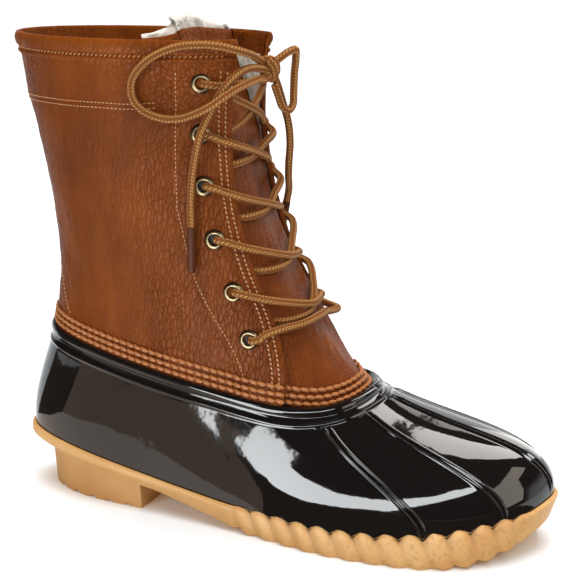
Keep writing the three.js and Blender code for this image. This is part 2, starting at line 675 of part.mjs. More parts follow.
function soleProfile({ u, phase, depth }) {
  const edge = featherEdge(u);
  const out = outward(featherEdge, u);
  const line = soleAt(edge.x);
  const crest = depth * (0.5 - 0.5 * Math.cos(phase));
  const lag = depth * (0.5 - 0.5 * Math.cos(phase - 0.5 * Math.PI));
  const lip = lipHeight + scallopCrest * crest;
  const lipRise = lip / (3 * sectionAt(u).edgeReach * rubberHeight);
  const underside = Math.max(0, line.underside) * heelLift;
  const at = (standOut, z) => edge.clone().addScaledVector(out, standOut).setZ(z);
  const lipTop = lifted(rubberSurface, u, lipRise, seatGap);
  const side = seatGap + lipWidth + 0.5;
  const flute = scallopDepth * (1 - crest) * depth;
  const lowFlute = scallopDepth * (1 - lag) * depth;
  const mid = THREE.MathUtils.lerp(edge.z, underside, 0.5);
  return [
    at(seatGap, edge.z - clearance),
    lipTop,
    lipTop.clone().addScaledVector(out, lipWidth - 0.5 * flute).setZ(lipTop.z - 0.2),
    at(side - flute, edge.z - 1),
    at(THREE.MathUtils.lerp(side, line.standOut, 0.45) - 0.5 * (flute + lowFlute), mid),
    at(line.standOut - lowFlute, underside),
  ];
}

function outsole() {
  const places = soleColumnPlaces();
  const count = places.length;
  const half = count / 2;
  const profiles = places.map(soleProfile);
  const rows = profiles[0].length;
  const points = profiles.flat();
  const triangles = [];
  for (let i = 0; i < count; i += 1) {
    const next = ((i + 1) % count) * rows;
    for (let j = 0; j + 1 < rows; j += 1) {
      triangles.push([i * rows + j, next + j, next + j + 1], [i * rows + j, next + j + 1, i * rows + j + 1]);
    }
  }
  // Footbed and underside run from both sides to a line along the middle of the sole
  const spine = (row, dip) => {
    const first = points.length;
    for (let k = 0; k <= half; k += 1) {
      const a = profiles[k][row];
      const b = profiles[(count - k) % count][row];
      const middle = a.clone().lerp(b, 0.5);
      middle.z -= dip * Math.sin((Math.PI * k) / half);
      points.push(middle);
    }
    return first;
  };
  const fill = (row, first, flip) => {
    const add = (a, b, c) => triangles.push(flip ? [a, c, b] : [a, b, c]);
    for (let k = 0; k < half; k += 1) {
      const lateral = [k * rows + row, (k + 1) * rows + row];
      const medial = [((count - k) % count) * rows + row, (count - k - 1) * rows + row];
      add(lateral[0], first + k, first + k + 1);
      add(lateral[0], first + k + 1, lateral[1]);
      add(medial[0], first + k + 1, first + k);
      add(medial[0], medial[1], first + k + 1);
    }
  };
  fill(0, spine(0, footbedDip), false);
  fill(rows - 1, spine(rows - 1, 0), true);
  const real = triangles.filter(([a, b, c]) => {
    const [p, q, r] = [points[a], points[b], points[c]];
    return p.distanceTo(q) > 1e-4 && q.distanceTo(r) > 1e-4 && r.distanceTo(p) > 1e-4;
  });
  return solidOf(closedGeometry(points, real));
}

// Heel block under the band, its back and sides drafted in towards the floor
function heelBlock() {
  const ends = [1, -1].map((sign) => {
    let u = 2;
    while (featherEdge(sign * u).x < heelBreast) u += 0.02;
    return u;
  });
  const places = evenly(-ends[1], ends[0], 25);
  const ring = (inset, heightAt) => places.map((u) => {
    const edge = featherEdge(u);
    const line = soleAt(edge.x);
    const point = edge.clone().addScaledVector(outward(featherEdge, u), line.standOut - heelLedge - inset);
    point.x = Math.min(point.x, heelBreast);
    return point.setZ(heightAt(line));
  });
  const loops = [
    ring(0, (line) => line.underside * heelLift + 2),
    ring(0.4, (line) => line.underside * heelLift),
    ring(heelDraft, () => 0),
  ];
  const count = places.length;
  const points = loops.flat();
  const triangles = [];
  for (let level = 0; level + 1 < loops.length; level += 1) joinLoops(triangles, level * count, (level + 1) * count, count);
  const cap = (first, flip) => {
    for (let j = 0; j + 1 < count / 2; j += 1) {
      const k = count - 1 - j;
      const add = (a, b, c) => triangles.push(flip ? [a, c, b] : [a, b, c]);
      add(first + j, first + j + 1, first + k);
      if (j + 1 < k - 1) add(first + j + 1, first + k - 1, first + k);
    }
  };
  cap(0, false);
  cap((loops.length - 1) * count, true);
  return solidOf(closedGeometry(points, triangles));
}

function crossGroove(x, width, depth, across) {
  const geometry = new THREE.BoxGeometry(width, across, 2 * depth);
  return solidOf(geometry.translate(x, 0, 0));
}

function outsoleGeometry() {
  let sole = outsole().add(heelBlock());
  const heelBack = -0.5 * lastLength + notchStart;
  for (let i = 1; i <= notchCount; i += 1) {
    const x = THREE.MathUtils.lerp(heelBack, heelBreast, i / (notchCount + 0.8));
    sole = sole.subtract(crossGroove(x, notchWidth, notchDepth, ballWidth));
  }
  for (let i = 0; i < grooveCount; i += 1) {
    const x = THREE.MathUtils.lerp(grooveStart, grooveEnd, i / (grooveCount - 1)) * lastLength;
    sole = sole.subtract(crossGroove(x, grooveWidth, grooveDepth, grooveLength * ballWidth));
  }
  return geometryOf(sole);
}

// Insole: lies on the footbed, inside the rubber's wall
function insoleGeometry() {
  const places = evenly(0, 8, 21);
  const half = places.length - 1;
  const inset = rubberWall + 2;
  const side = (u) => featherEdge(u).addScaledVector(outward(featherEdge, u), -inset);
  const dipAt = (k) => footbedDip * Math.sin((Math.PI * k) / half);
  const shares = [0, 0.12, 0.5, 0.88, 1];
  const profiles = places.map((u, k) => {
    const lateral = side(u);
    const medial = side(around - u);
    const bottom = shares.map((share) => lateral.clone().lerp(medial, share));
    bottom.forEach((point, i) => { point.z -= (i === 2 ? dipAt(k) : 0) - 0.2; });
    const crown = [0.5, 1, 0.8, 1, 0.5];
    const top = bottom.map((point, i) => point.clone().setZ(point.z + insoleThickness * crown[i]));
    return [...bottom, ...top.reverse()];
  });
  return rowOfProfiles(profiles.slice(1, -1));
}

// Assembly
const boot = new THREE.Group();
function place(name, geometry, material) {
  const mesh = new THREE.Mesh(geometry, material);
  mesh.name = name;
  boot.add(mesh);
}

const eyelets = eyeletPlaces();
const levels = evenly(0, eyeletsPerSide - 1, eyeletsPerSide).map((i) => ({
  near: eyelets[i],
  far: eyelets[eyeletsPerSide + i],
}));

place('outsole', outsoleGeometry(), gumRubber);
place('insole', insoleGeometry(), insoleCloth);
place('rubber_shell', rubberShell(), glossRubber);
place('leather_shaft', leatherShaft(eyelets), brownLeather);
place('tongue', tongueGeometry(), tongueLeather);
eyelets.forEach((eyelet) => place(`eyelet_${eyelet.side}_${eyelet.number}`, eyeletGeometry(eyelet), agedBrass));
place('lace_bottom_bar', laceBar(levels[0]), laceCord);
for (let i = 0; i + 2 < eyeletsPerSide; i += 1) {
  place(`lace_crossing_${i + 1}`, laceCrossing(levels[i], levels[i + 1]), laceCord);
}
place('lace_crossing_5', topCrossing(levels.at(-2), levels.at(-1)), laceCord);
place('lace_top_bar', laceBar(levels.at(-1)), laceCord);
place('lace_knot', knotGeometry(), laceCord);
place('lace_loop_near', bowCord(nearLoopRoute), laceCord);
place('lace_loop_far', bowCord(farLoopRoute), laceCord);
place('lace_end_near', bowCord(nearEndRoute), laceCord);
place('lace_end_far', bowCord(farEndRoute), laceCord);
place('aglet_near', agletOn(nearEndRoute), agletPlastic);
place('aglet_far', agletOn(farEndRoute), agletPlastic);
boot.position.x = centring;

export default boot;
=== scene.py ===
import math
import bpy
import numpy as np
from mathutils import Matrix, Vector


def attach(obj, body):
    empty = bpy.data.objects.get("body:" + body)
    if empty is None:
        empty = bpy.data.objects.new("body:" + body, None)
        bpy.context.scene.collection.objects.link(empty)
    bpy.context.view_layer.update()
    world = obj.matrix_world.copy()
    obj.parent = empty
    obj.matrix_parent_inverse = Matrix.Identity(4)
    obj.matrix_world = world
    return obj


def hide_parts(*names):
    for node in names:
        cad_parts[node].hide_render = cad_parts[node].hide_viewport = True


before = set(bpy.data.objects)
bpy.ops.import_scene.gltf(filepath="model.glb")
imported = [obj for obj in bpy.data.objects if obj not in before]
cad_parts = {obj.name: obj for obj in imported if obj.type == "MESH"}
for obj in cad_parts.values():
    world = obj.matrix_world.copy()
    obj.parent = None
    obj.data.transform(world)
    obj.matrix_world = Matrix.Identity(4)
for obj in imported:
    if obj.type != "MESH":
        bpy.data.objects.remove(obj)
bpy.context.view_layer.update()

# Camera: the photo's angle. It comes before the pieces, since the cords are laid out for it.
camera = {
    "place": (0.28952, -0.7007, 0.31091),
    "azimuth": 22.0,
    "elevation": 14.49,
    "roll": 0.91,
    "lens": 97.38,
}


def addCamera():
    a = math.radians(camera["azimuth"])
    e = math.radians(camera["elevation"])
    r = math.radians(camera["roll"])
    back = Vector((math.sin(a) * math.cos(e), -math.cos(a) * math.cos(e), math.sin(e)))
    right = Vector((math.cos(a), math.sin(a), 0))
    up = back.cross(right)
    across = right * math.cos(r) + up * math.sin(r)
    upwards = up * math.cos(r) - right * math.sin(r)
    data = bpy.data.cameras.new("camera")
    data.lens = camera["lens"]
    data.sensor_width = 36
    data.clip_start = 0.01
    obj = bpy.data.objects.new("camera", data)
    bpy.context.scene.collection.objects.link(obj)
    turn = Matrix((across, upwards, back)).transposed().to_4x4()
    obj.matrix_world = Matrix.Translation(camera["place"]) @ turn
    bpy.context.scene.camera = obj


addCamera()
print("camera placed")

# The form of the boot, in millimetres. X runs from heel to toe, Y to the medial side, Z up.
form = {
    "lastLength": 277,
    "ballWidth": 97,
    "heelLift": 32,
    "rubberHeight": 88,
    "shaftHeight": 238,
    "collarLength": 141,
    "collarWidth": 80,
    "collarSetBack": 77,
    "collarShift": 1.5,
    "collarSlope": 0.02,
    "centring": 3.5,
}

# Sections round the foot: 0 is the back of the heel, 8 the toe, with the lateral side between them
# and the medial side from 9 to 15
sectionColumns = [
    "edgeX", "edgeY", "edgeZ", "rimX", "rimY", "rimZ", "edgeReach", "edgeFlare", "rimReach", "rimLean",
    "leatherReach", "leatherLean", "collarReach", "collarFlare",
]
sections = np.array([
    [-0.5, 0.015, 1, -0.464, 0.015, 1, 0.205, 9, 0.205, 15, 0.193, 10, 0.235, 12],
    [-0.475, -0.21, 0.97, -0.435, -0.17, 0.983, 0.18, 9, 0.205, 15, 0.193, 12, 0.244, 10],
    [-0.366, -0.345, 0.845, -0.356, -0.29, 0.943, 0.18, 8, 0.205, 13, 0.176, 10, 0.235, 4],
    [-0.186, -0.376, 0.56, -0.226, -0.356, 0.875, 0.18, 7, 0.205, 9, 0.143, 6, 0.218, 0],
    [-0.005, -0.428, 0.375, -0.092, -0.387, 0.818, 0.193, 10, 0.205, 8, 0.13, 5, 0.202, 0],
    [0.164, -0.5, 0.33, 0.038, -0.397, 0.773, 0.205, 14, 0.205, 16, 0.134, 12, 0.21, 0],
    [0.327, -0.459, 0.438, 0.114, -0.314, 0.761, 0.227, 12, 0.295, 42, 0.143, 30, 0.252, 2],
    [0.446, -0.253, 0.625, 0.157, -0.16, 0.784, 0.284, 8, 0.432, 58, 0.164, 42, 0.303, 6],
    [0.5, 0.057, 0.797, 0.171, 0.036, 0.807, 0.341, 3, 0.545, 63, 0.193, 50, 0.328, 10],
    [0.468, 0.294, 0.72, 0.153, 0.211, 0.784, 0.33, 8, 0.489, 58, 0.21, 45, 0.336, 9],
    [0.363, 0.459, 0.516, 0.11, 0.356, 0.767, 0.273, 11, 0.341, 44, 0.193, 28, 0.328, 6],
    [0.218, 0.5, 0.39, 0.023, 0.418, 0.778, 0.227, 12, 0.227, 22, 0.15, 12, 0.26, 3],
    [0.06, 0.428, 0.42, -0.099, 0.397, 0.824, 0.205, 9, 0.205, 9, 0.13, 4, 0.21, 1],
    [-0.128, 0.345, 0.547, -0.229, 0.356, 0.898, 0.205, 6, 0.205, 7, 0.126, 4, 0.21, 2],
    [-0.323, 0.351, 0.797, -0.356, 0.309, 0.955, 0.193, 9, 0.205, 12, 0.143, 8, 0.21, 6],
    [-0.457, 0.242, 0.97, -0.433, 0.196, 0.99, 0.193, 10, 0.205, 15, 0.168, 10, 0.227, 11],
])
around = len(sections)

# Lines of the throat, on the leather's rise from rim to collar
throatColumns = ["nearEdge", "farEdge", "nearStay", "farStay", "tongueNear", "tongueFar"]
throatRises = np.array([0, 0.15, 0.3, 0.45, 0.6, 0.75, 0.88, 1])
throatLines = np.array([
    [5.15, 10.85, 4.5, 11.5, 4.7, 11.3],
    [5.34, 10.66, 4.42, 11.58, 4.85, 11.15],
    [5.47, 10.6, 4.28, 11.72, 4.95, 11.05],
    [5.48, 10.6, 4.24, 11.76, 5.0, 11.0],
    [5.7, 10.35, 4.45, 11.55, 5.3, 10.7],
    [6.06, 9.95, 4.82, 11.18, 5.8, 10.0],
    [6.35, 9.74, 5.08, 10.92, 6.1, 9.9],
    [6.52, 9.6, 5.2, 10.8, 6.3, 9.8],
])

# Underside of the sole along the last: height of its lower edge and how far that edge stands out
soleAlong = np.array([-0.5, -0.47, -0.4, -0.3, -0.2, -0.1, 0, 0.07, 0.12, 0.33, 0.4, 0.46, 0.5])
soleColumns = ["underside", "standOut"]
soleLines = np.array([
    [0.69, -9], [0.67, -7], [0.6, -3.4], [0.5, -1.2], [0.39, -0.4], [0.21, 0], [0.03, 1], [0, 1.6],
    [0, 1.8], [0, 1.4], [0.06, 0.8], [0.22, -0.6], [0.42, -1.6],
])


def blendFour(a, b, c, d, t):
    return b + 0.5 * t * (c - a + t * (2 * a - 5 * b + 4 * c - d + t * (3 * (b - c) + d - a)))


def sectionAt(u):
    wrapped = np.mod(u, around)
    first = np.floor(wrapped).astype(int)
    t = wrapped - first
    rows = [sections[(first + step) % around] for step in (-1, 0, 1, 2)]
    return {name: blendFour(*[row[..., i] for row in rows], t) for i, name in enumerate(sectionColumns)}


def lineAt(places, lines, columns, place):
    place = np.asarray(place, float)
    first = np.clip(np.searchsorted(places, place, side="right") - 1, 0, len(places) - 2)
    t = (place - places[first]) / (places[first + 1] - places[first])
    held = np.clip(t, 0, 1)
    padded = np.vstack([2 * lines[0] - lines[1], lines, 2 * lines[-1] - lines[-2]])
    rows = [padded[first + step] for step in range(4)]
    values = {}
    for i, name in enumerate(columns):
        a, b, c, d = [row[..., i] for row in rows]
        values[name] = blendFour(a, b, c, d, held) + (t - held) * (c - b)
    return values


def throatAt(s):
    return lineAt(throatRises, throatLines, throatColumns, s)


def soleAt(x):
    return lineAt(soleAlong, soleLines, soleColumns, x / form["lastLength"])


def stack(x, y, z):
    return np.stack(np.broadcast_arrays(x, y, z), axis=-1)


# Distance along a line of points, from its start
def lengthsAlong(points):
    return np.concatenate([[0], np.cumsum(np.linalg.norm(np.diff(points, axis=0), axis=1))])


def unit(v):
    return v / np.maximum(np.linalg.norm(v, axis=-1, keepdims=True), 1e-9)


def featherEdge(u):
    row = sectionAt(u)
    x, y, z = row["edgeX"], row["edgeY"], row["edgeZ"]
    return stack(x * form["lastLength"], y * form["ballWidth"], z * form["heelLift"])


def rimLine(u):
    row = sectionAt(u)
    x, y, z = row["rimX"], row["rimY"], row["rimZ"]
    return stack(x * form["lastLength"], y * form["ballWidth"], z * form["rubberHeight"])


def collarLine(u):
    turn = math.pi + np.asarray(u, float) / around * 2 * math.pi
    forward = 0.5 * form["collarLength"] * np.cos(turn)
    side = 0.5 * form["collarWidth"] * np.sin(turn)
    return stack(forward - form["collarSetBack"], side + form["collarShift"],
                 form["shaftHeight"] + form["collarSlope"] * forward)


def outward(line, u):
    way = line(u + 0.01) - line(u - 0.01)
    return unit(stack(way[..., 1], -way[..., 0], 0 * way[..., 0]))


def rising(out, degrees):
    angle = np.radians(degrees)
    return stack(out[..., 0] * np.sin(angle), out[..., 1] * np.sin(angle), np.cos(angle))


def bezier(a, b, c, d, s):
    s = s[..., None]
    r = 1 - s
    return a * r ** 3 + 3 * b * r * r * s + 3 * c * r * s * s + d * s ** 3


def rubberSurface(u, s):
    u, s = np.broadcast_arrays(np.asarray(u, float), np.asarray(s, float))
    row = sectionAt(u)
    start = featherEdge(u)
    end = rimLine(u)
    up = rising(outward(featherEdge, u), row["edgeFlare"])
    over = rising(outward(rimLine, u), -row["rimLean"])
    height = form["rubberHeight"]
    return bezier(start, start + up * (row["edgeReach"] * height)[..., None],
                  end - over * (row["rimReach"] * height)[..., None], end, s)


def leatherSurface(u, s):
    u, s = np.broadcast_arrays(np.asarray(u, float), np.asarray(s, float))
    row = sectionAt(u)
    start = rimLine(u)
    end = collarLine(u)
    up = rising(outward(rimLine, u), -row["leatherLean"])
    over = rising(outward(collarLine, u), row["collarFlare"])
    height = form["shaftHeight"]
    return bezier(start, start + up * (row["leatherReach"] * height)[..., None],
                  end - over * (row["collarReach"] * height)[..., None], end, s)


def smoothStep(x, low, high):
    t = np.clip((x - low) / (high - low), 0, 1)
    return t * t * (3 - 2 * t)


def throatSurface(u, s):
    u, s = np.broadcast_arrays(np.asarray(u, float), np.asarray(s, float))
    lines = throatAt(s)
    share = (u - lines["nearEdge"]) / (lines["farEdge"] - lines["nearEdge"])
    inside = ((share > 0) & (share < 1))[..., None]
    point = leatherSurface(u, s)
    near = leatherSurface(lines["nearEdge"], s)
    far = leatherSurface(lines["farEdge"], s)
    chord = near + (far - near) * share[..., None]
    flat = (0.9 * smoothStep(s, 0.2, 0.9))[..., None]
    return np.where(inside, point + (chord - point) * flat, point)


def normalOf(surface, u, s):
    step = 0.004
    alongU = surface(u + step, s) - surface(u - step, s)
    alongS = surface(u, s + step) - surface(u, s - step)
    return unit(np.cross(alongU, alongS))


def lifted(surface, u, s, lift):
    u, s, lift = np.broadcast_arrays(np.asarray(u, float), np.asarray(s, float), np.asarray(lift, float))
    return surface(u, s) + normalOf(surface, u, s) * lift[..., None]


def stretch(surface, u, s):
    step = 0.01
    return np.linalg.norm(surface(u + step, s) - surface(u - step, s), axis=-1) / (2 * step)


def riseBelowRim(u, drop):
    return 1 - drop / (3 * sectionAt(u)["rimReach"] * form["rubberHeight"])


def riseAboveRim(u, height):
    return height / (3 * sectionAt(u)["leatherReach"] * form["shaftHeight"])


def riseBelowCollar(u, drop):
    return 1 - drop / (3 * sectionAt(u)["collarReach"] * form["shaftHeight"])


# Smooth random waves: a cheap noise that is the same at each run
def waves(points, size, seed, count=14):
    source = np.random.default_rng(seed)
    total = np.zeros(points.shape[:-1])
    for _ in range(count):
        way = unit(source.normal(size=3))
        length = size * source.uniform(0.7, 1.5)
        total += np.sin(points @ way * (2 * math.pi / length) + source.uniform(0, 2 * math.pi))
    return total / math.sqrt(0.5 * count)


def inMetres(points):
    moved = np.array(points, float)
    moved[..., 0] += form["centring"]
    return moved * 0.001


# Meshes
def meshObject(name, points, faces, material, uv=None):
    mesh = bpy.data.meshes.new(name)
    flat = inMetres(points).reshape(-1, 3)
    faces = np.asarray(faces, np.int32)
    sides = faces.shape[1]
    mesh.vertices.add(len(flat))
    mesh.vertices.foreach_set("co", flat.ravel())
    mesh.loops.add(faces.size)
    mesh.loops.foreach_set("vertex_index", faces.ravel())
    mesh.polygons.add(len(faces))
    mesh.polygons.foreach_set("loop_start", np.arange(0, faces.size, sides, dtype=np.int32))
    mesh.update(calc_edges=True)
    mesh.validate()
    mesh.polygons.foreach_set("use_smooth", np.ones(len(mesh.polygons), bool))
    if uv is not None:
        layer = mesh.uv_layers.new(name="uv")
        corners = np.zeros(len(mesh.loops), np.int32)
        mesh.loops.foreach_get("vertex_index", corners)
        layer.data.foreach_set("uv", np.asarray(uv, float).reshape(-1, 2)[corners].ravel())
    mesh.materials.append(material)
    obj = bpy.data.objects.new(name, mesh)
    bpy.context.scene.collection.objects.link(obj)
    return obj


def gridFaces(rows, columns, closeRows=False, closeColumns=False, flip=False):
    i = np.arange(rows if closeRows else rows - 1)
    j = np.arange(columns if closeColumns else columns - 1)
    i, j = np.meshgrid(i, j, indexing="ij")
    a = i * columns + j
    b = i * columns + (j + 1) % columns
    c = ((i + 1) % rows) * columns + (j + 1) % columns
    d = ((i + 1) % rows) * columns + j
    order = (a, d, c, b) if flip else (a, b, c, d)
    return np.stack([q.ravel() for q in order], axis=-1)


def joinParts(parts):
    points = []
    faces = []
    uvs = []
    start = 0
    for part in parts:
        points.append(part[0].reshape(-1, 3))
        faces.append(part[1] + start)
        if len(part) > 2:
            uvs.append(part[2].reshape(-1, 2))
        start += len(points[-1])
    return np.vstack(points), np.vstack(faces), (np.vstack(uvs) if uvs else None)


def finishPiece(obj, slot, *nodes):
    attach(obj, "root")
    if nodes:
        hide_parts(*nodes)
    return obj


# Shaders
def socketOf(group, name, kind, value):
    socket = group.interface.new_socket(name=name, in_out="INPUT", socket_type=kind)
    socket.default_value = value
    return socket


def newNode(tree, kind, inputs=None, **settings):
    node = tree.nodes.new(kind)
    for key, value in settings.items():
        setattr(node, key, value)
    for key, value in (inputs or {}).items():
        if isinstance(value, bpy.types.NodeSocket):
            tree.links.new(value, node.inputs[key])
        else:
            node.inputs[key].default_value = value
    return node


def maths(tree, operation, a, b=0.0, c=0.0):
    return newNode(tree, "ShaderNodeMath", {0: a, 1: b, 2: c}, operation=operation).outputs[0]


def mixColour(tree, factor, a, b, blend="MIX"):
    node = newNode(tree, "ShaderNodeMix", data_type="RGBA", blend_type=blend)
    for socket, value in ((node.inputs[0], factor), (node.inputs[6], a), (node.inputs[7], b)):
        if isinstance(value, bpy.types.NodeSocket):
            tree.links.new(value, socket)
        else:
            socket.default_value = value
    return node.outputs[2]


def ramp(tree, factor, stops):
    node = newNode(tree, "ShaderNodeValToRGB", {0: factor})
    elements = node.color_ramp.elements
    elements[0].position = stops[0][0]
    elements[0].color = stops[0][1]
    elements[1].position = stops[-1][0]
    elements[1].color = stops[-1][1]
    for place, colour in stops[1:-1]:
        elements.new(place).color = colour
    return node.outputs[0]


def rangeOf(tree, value, low, high, fromValue, toValue, kind="SMOOTHSTEP"):
    inputs = {0: value, 1: low, 2: high, 3: fromValue, 4: toValue}
    return newNode(tree, "ShaderNodeMapRange", inputs, interpolation_type=kind).outputs[0]


def placeOf(tree):
    return newNode(tree, "ShaderNodeNewGeometry").outputs["Position"]


def noiseOf(tree, place, scale, detail, roughness=0.5):
    inputs = {"Vector": place, "Scale": scale, "Detail": detail, "Roughness": roughness}
    return newNode(tree, "ShaderNodeTexNoise", inputs).outputs[0]


def bumpOf(tree, depth, height, strength=1.0):
    inputs = {"Strength": strength, "Distance": depth, "Height": height}
    return newNode(tree, "ShaderNodeBump", inputs).outputs[0]


# The two coordinates of a mesh's own map
def mapOf(tree):
    node = newNode(tree, "ShaderNodeUVMap", uv_map="uv")
    return newNode(tree, "ShaderNodeSeparateXYZ", {0: node.outputs[0]}).outputs


def newMaterial(name):
    material = bpy.data.materials.new(name)
    material.use_nodes = True
    material.node_tree.nodes.clear()
    return material


def surfaceOf(tree, inputs):
    shader = newNode(tree, "ShaderNodeBsdfPrincipled", inputs)
    newNode(tree, "ShaderNodeOutputMaterial", {"Surface": shader.outputs[0]})


# Pebbled leather grain: domes with fine creases between them, drawn out along the stretch of the leather
def grainGroup():
    group = bpy.data.node_groups.new("pebbledGrain", "ShaderNodeTree")
    socketOf(group, "Cells", "NodeSocketFloat", 500.0)
    socketOf(group, "Lean", "NodeSocketVector", (0.0, 0.0, 0.0))
    socketOf(group, "Squeeze", "NodeSocketVector", (1.0, 1.0, 0.5))
    group.interface.new_socket(name="Height", in_out="OUTPUT", socket_type="NodeSocketFloat")
    group.interface.new_socket(name="Crease", in_out="OUTPUT", socket_type="NodeSocketFloat")
    given = newNode(group, "NodeGroupInput").outputs
    place = placeOf(group)
    turning = {0: place, "Rotation": given["Lean"], "Scale": given["Squeeze"]}
    turned = newNode(group, "ShaderNodeMapping", turning, vector_type="POINT").outputs[0]
    # A slow noise bends the rows of pebbles
    slow = newNode(group, "ShaderNodeTexNoise", {"Vector": place, "Scale": 180.0, "Detail": 3.0})
    centring = {0: slow.outputs["Color"], 1: (0.5, 0.5, 0.5)}
    centred = newNode(group, "ShaderNodeVectorMath", centring, operation="SUBTRACT").outputs[0]
    bending = {0: centred, "Scale": 0.0022}
    bent = newNode(group, "ShaderNodeVectorMath", bending, operation="SCALE").outputs[0]
    moved = newNode(group, "ShaderNodeVectorMath", {0: turned, 1: bent}, operation="ADD").outputs[0]
    where = {"Vector": moved, "Scale": given["Cells"]}
    cells = newNode(group, "ShaderNodeTexVoronoi", where, feature="F1").outputs["Distance"]
    edges = newNode(group, "ShaderNodeTexVoronoi", where, feature="DISTANCE_TO_EDGE").outputs["Distance"]
    dome = maths(group, "SUBTRACT", 1.0, maths(group, "POWER", cells, 1.6))
    crease = rangeOf(group, edges, 0.0, 0.13, 1.0, 0.0)
    height = maths(group, "SUBTRACT", dome, maths(group, "MULTIPLY", crease, 0.55))
    newNode(group, "NodeGroupOutput", {"Height": height, "Crease": crease})
    return group


grain = grainGroup()


def grainOf(tree, cells, lean, squeeze):
    node = newNode(tree, "ShaderNodeGroup", node_tree=grain)
    node.inputs["Cells"].default_value = cells
    node.inputs["Lean"].default_value = (0.0, lean, 0.0)
    node.inputs["Squeeze"].default_value = (1.0, 1.0, squeeze)
    return node.outputs


# Leather: plain is the depth of the grain in the middle of the quarter, as a share of the deepest
def leatherMaterial(name, light, mid, dark, bumpDepth, roughness, cells=500.0, plain=0.25):
    material = newMaterial(name)
    tree = material.node_tree
    place = placeOf(tree)
    axes = newNode(tree, "ShaderNodeSeparateXYZ", {0: place}).outputs
    # Round pebbles in the cuff and the top of the eyestay, drawn out ones below
    pebbles = grainOf(tree, cells, 0.0, 0.8)
    drawn = grainOf(tree, cells * 1.15, math.radians(-24), 0.42)
    high = rangeOf(tree, axes[2], 0.185, 0.215, 0.0, 1.0)
    height = newNode(tree, "ShaderNodeMix", {0: high, 2: drawn["Height"], 3: pebbles["Height"]}).outputs[0]
    crease = newNode(tree, "ShaderNodeMix", {0: high, 2: drawn["Crease"], 3: pebbles["Crease"]}).outputs[0]
    # The grain is deepest towards the throat, the heel and the cuff
    patch = noiseOf(tree, place, 34.0, 2.0)
    front = rangeOf(tree, axes[0], -0.085, -0.035, plain, 1.0)
    rear = rangeOf(tree, axes[0], -0.125, -0.1, plain + 0.35, 0.0)
    top = rangeOf(tree, axes[2], 0.19, 0.225, 0.0, 0.45)
    amount = maths(tree, "MAXIMUM", front, maths(tree, "MAXIMUM", rear, top))
    amount = maths(tree, "MULTIPLY", amount, rangeOf(tree, patch, 0.3, 0.7, 0.55, 1.2))
    # Blotches and upright streaks, a little lighter in the cuff
    blotch = noiseOf(tree, place, 24.0, 4.0, 0.6)
    drawnOut = newNode(tree, "ShaderNodeMapping", {0: place, "Scale": (1.0, 1.0, 0.15)}).outputs[0]
    streak = noiseOf(tree, drawnOut, 120.0, 5.0)
    rise = rangeOf(tree, axes[2], 0.19, 0.24, 0.0, 0.07)
    factor = maths(tree, "ADD", maths(tree, "MULTIPLY", blotch, 0.6), maths(tree, "MULTIPLY", streak, 0.4))
    factor = maths(tree, "ADD", factor, rise)
    colour = ramp(tree, factor, [(0.28, (*dark, 1)), (0.52, (*mid, 1)), (0.78, (*light, 1))])
    # Painted shade: the grain's creases are painted darker, the more so where the grain is deep
    deep = (dark[0] * 0.6, dark[1] * 0.5, dark[2] * 0.4, 1)
    share = maths(tree, "MULTIPLY", crease, maths(tree, "MULTIPLY", amount, 0.3))
    colour = mixColour(tree, share, colour, deep)
    fine = noiseOf(tree, place, 1500.0, 2.0)
    relief = maths(tree, "MULTIPLY_ADD", height, amount, maths(tree, "MULTIPLY", fine, 0.12))
    rough = maths(tree, "ADD", roughness, maths(tree, "MULTIPLY", crease, 0.2))
    surfaceOf(tree, {"Base Color": colour, "Roughness": rough, "Normal": bumpOf(tree, bumpDepth, relief),
                     "IOR": 1.45, "Specular IOR Level": 0.07})
    return material


def rubberMaterial():
    material = newMaterial("glossRubber")
    tree = material.node_tree
    wavy = noiseOf(tree, placeOf(tree), 55.0, 3.0, 0.55)
    surfaceOf(tree, {"Base Color": (0.006, 0.0045, 0.004, 1), "Roughness": 0.045, "IOR": 1.52,
                     "Normal": bumpOf(tree, 0.0004, wavy, 0.2)})
    return material


def gumMaterial(name, tone):
    material = newMaterial(name)
    tree = material.node_tree
    place = placeOf(tree)
    along = newNode(tree, "ShaderNodeSeparateXYZ", {0: place}).outputs[0]
    # Fine pits, more and more towards the toe
    front = rangeOf(tree, along, 0.0, 0.09, 0.0, 1.0, "LINEAR")
    fine = noiseOf(tree, place, 900.0, 4.0, 0.7)
    speck = noiseOf(tree, place, 420.0, 3.0, 0.6)
    pit = maths(tree, "MULTIPLY", rangeOf(tree, speck, 0.36, 0.46, 1.0, 0.0, "LINEAR"), front)
    slow = noiseOf(tree, place, 30.0, 2.0)
    deep = (tone[0] * 0.86, tone[1] * 0.76, tone[2] * 0.62, 1)
    colour = ramp(tree, slow, [(0.35, deep), (0.65, (*tone, 1))])
    # Painted shade: the pits are painted darker, as shade in them
    colour = mixColour(tree, maths(tree, "MULTIPLY", pit, 0.45), colour, (0.42, 0.2, 0.06, 1))
    # Painted shade: the cuts between the scallops are painted darker, as shade in the grooves
    cut = rangeOf(tree, mapOf(tree)[0], 0.25, 0.95, 0.0, 0.75)
    colour = mixColour(tree, cut, colour, (0.3, 0.13, 0.035, 1))
    height = maths(tree, "SUBTRACT", maths(tree, "MULTIPLY", fine, 0.5), pit)
    surfaceOf(tree, {"Base Color": colour, "Roughness": 0.55, "Normal": bumpOf(tree, 0.0003, height, 0.5),
                     "Subsurface Weight": 0.12, "Subsurface Radius": (0.003, 0.0015, 0.0007),
                     "Subsurface Scale": 0.6})
    return material


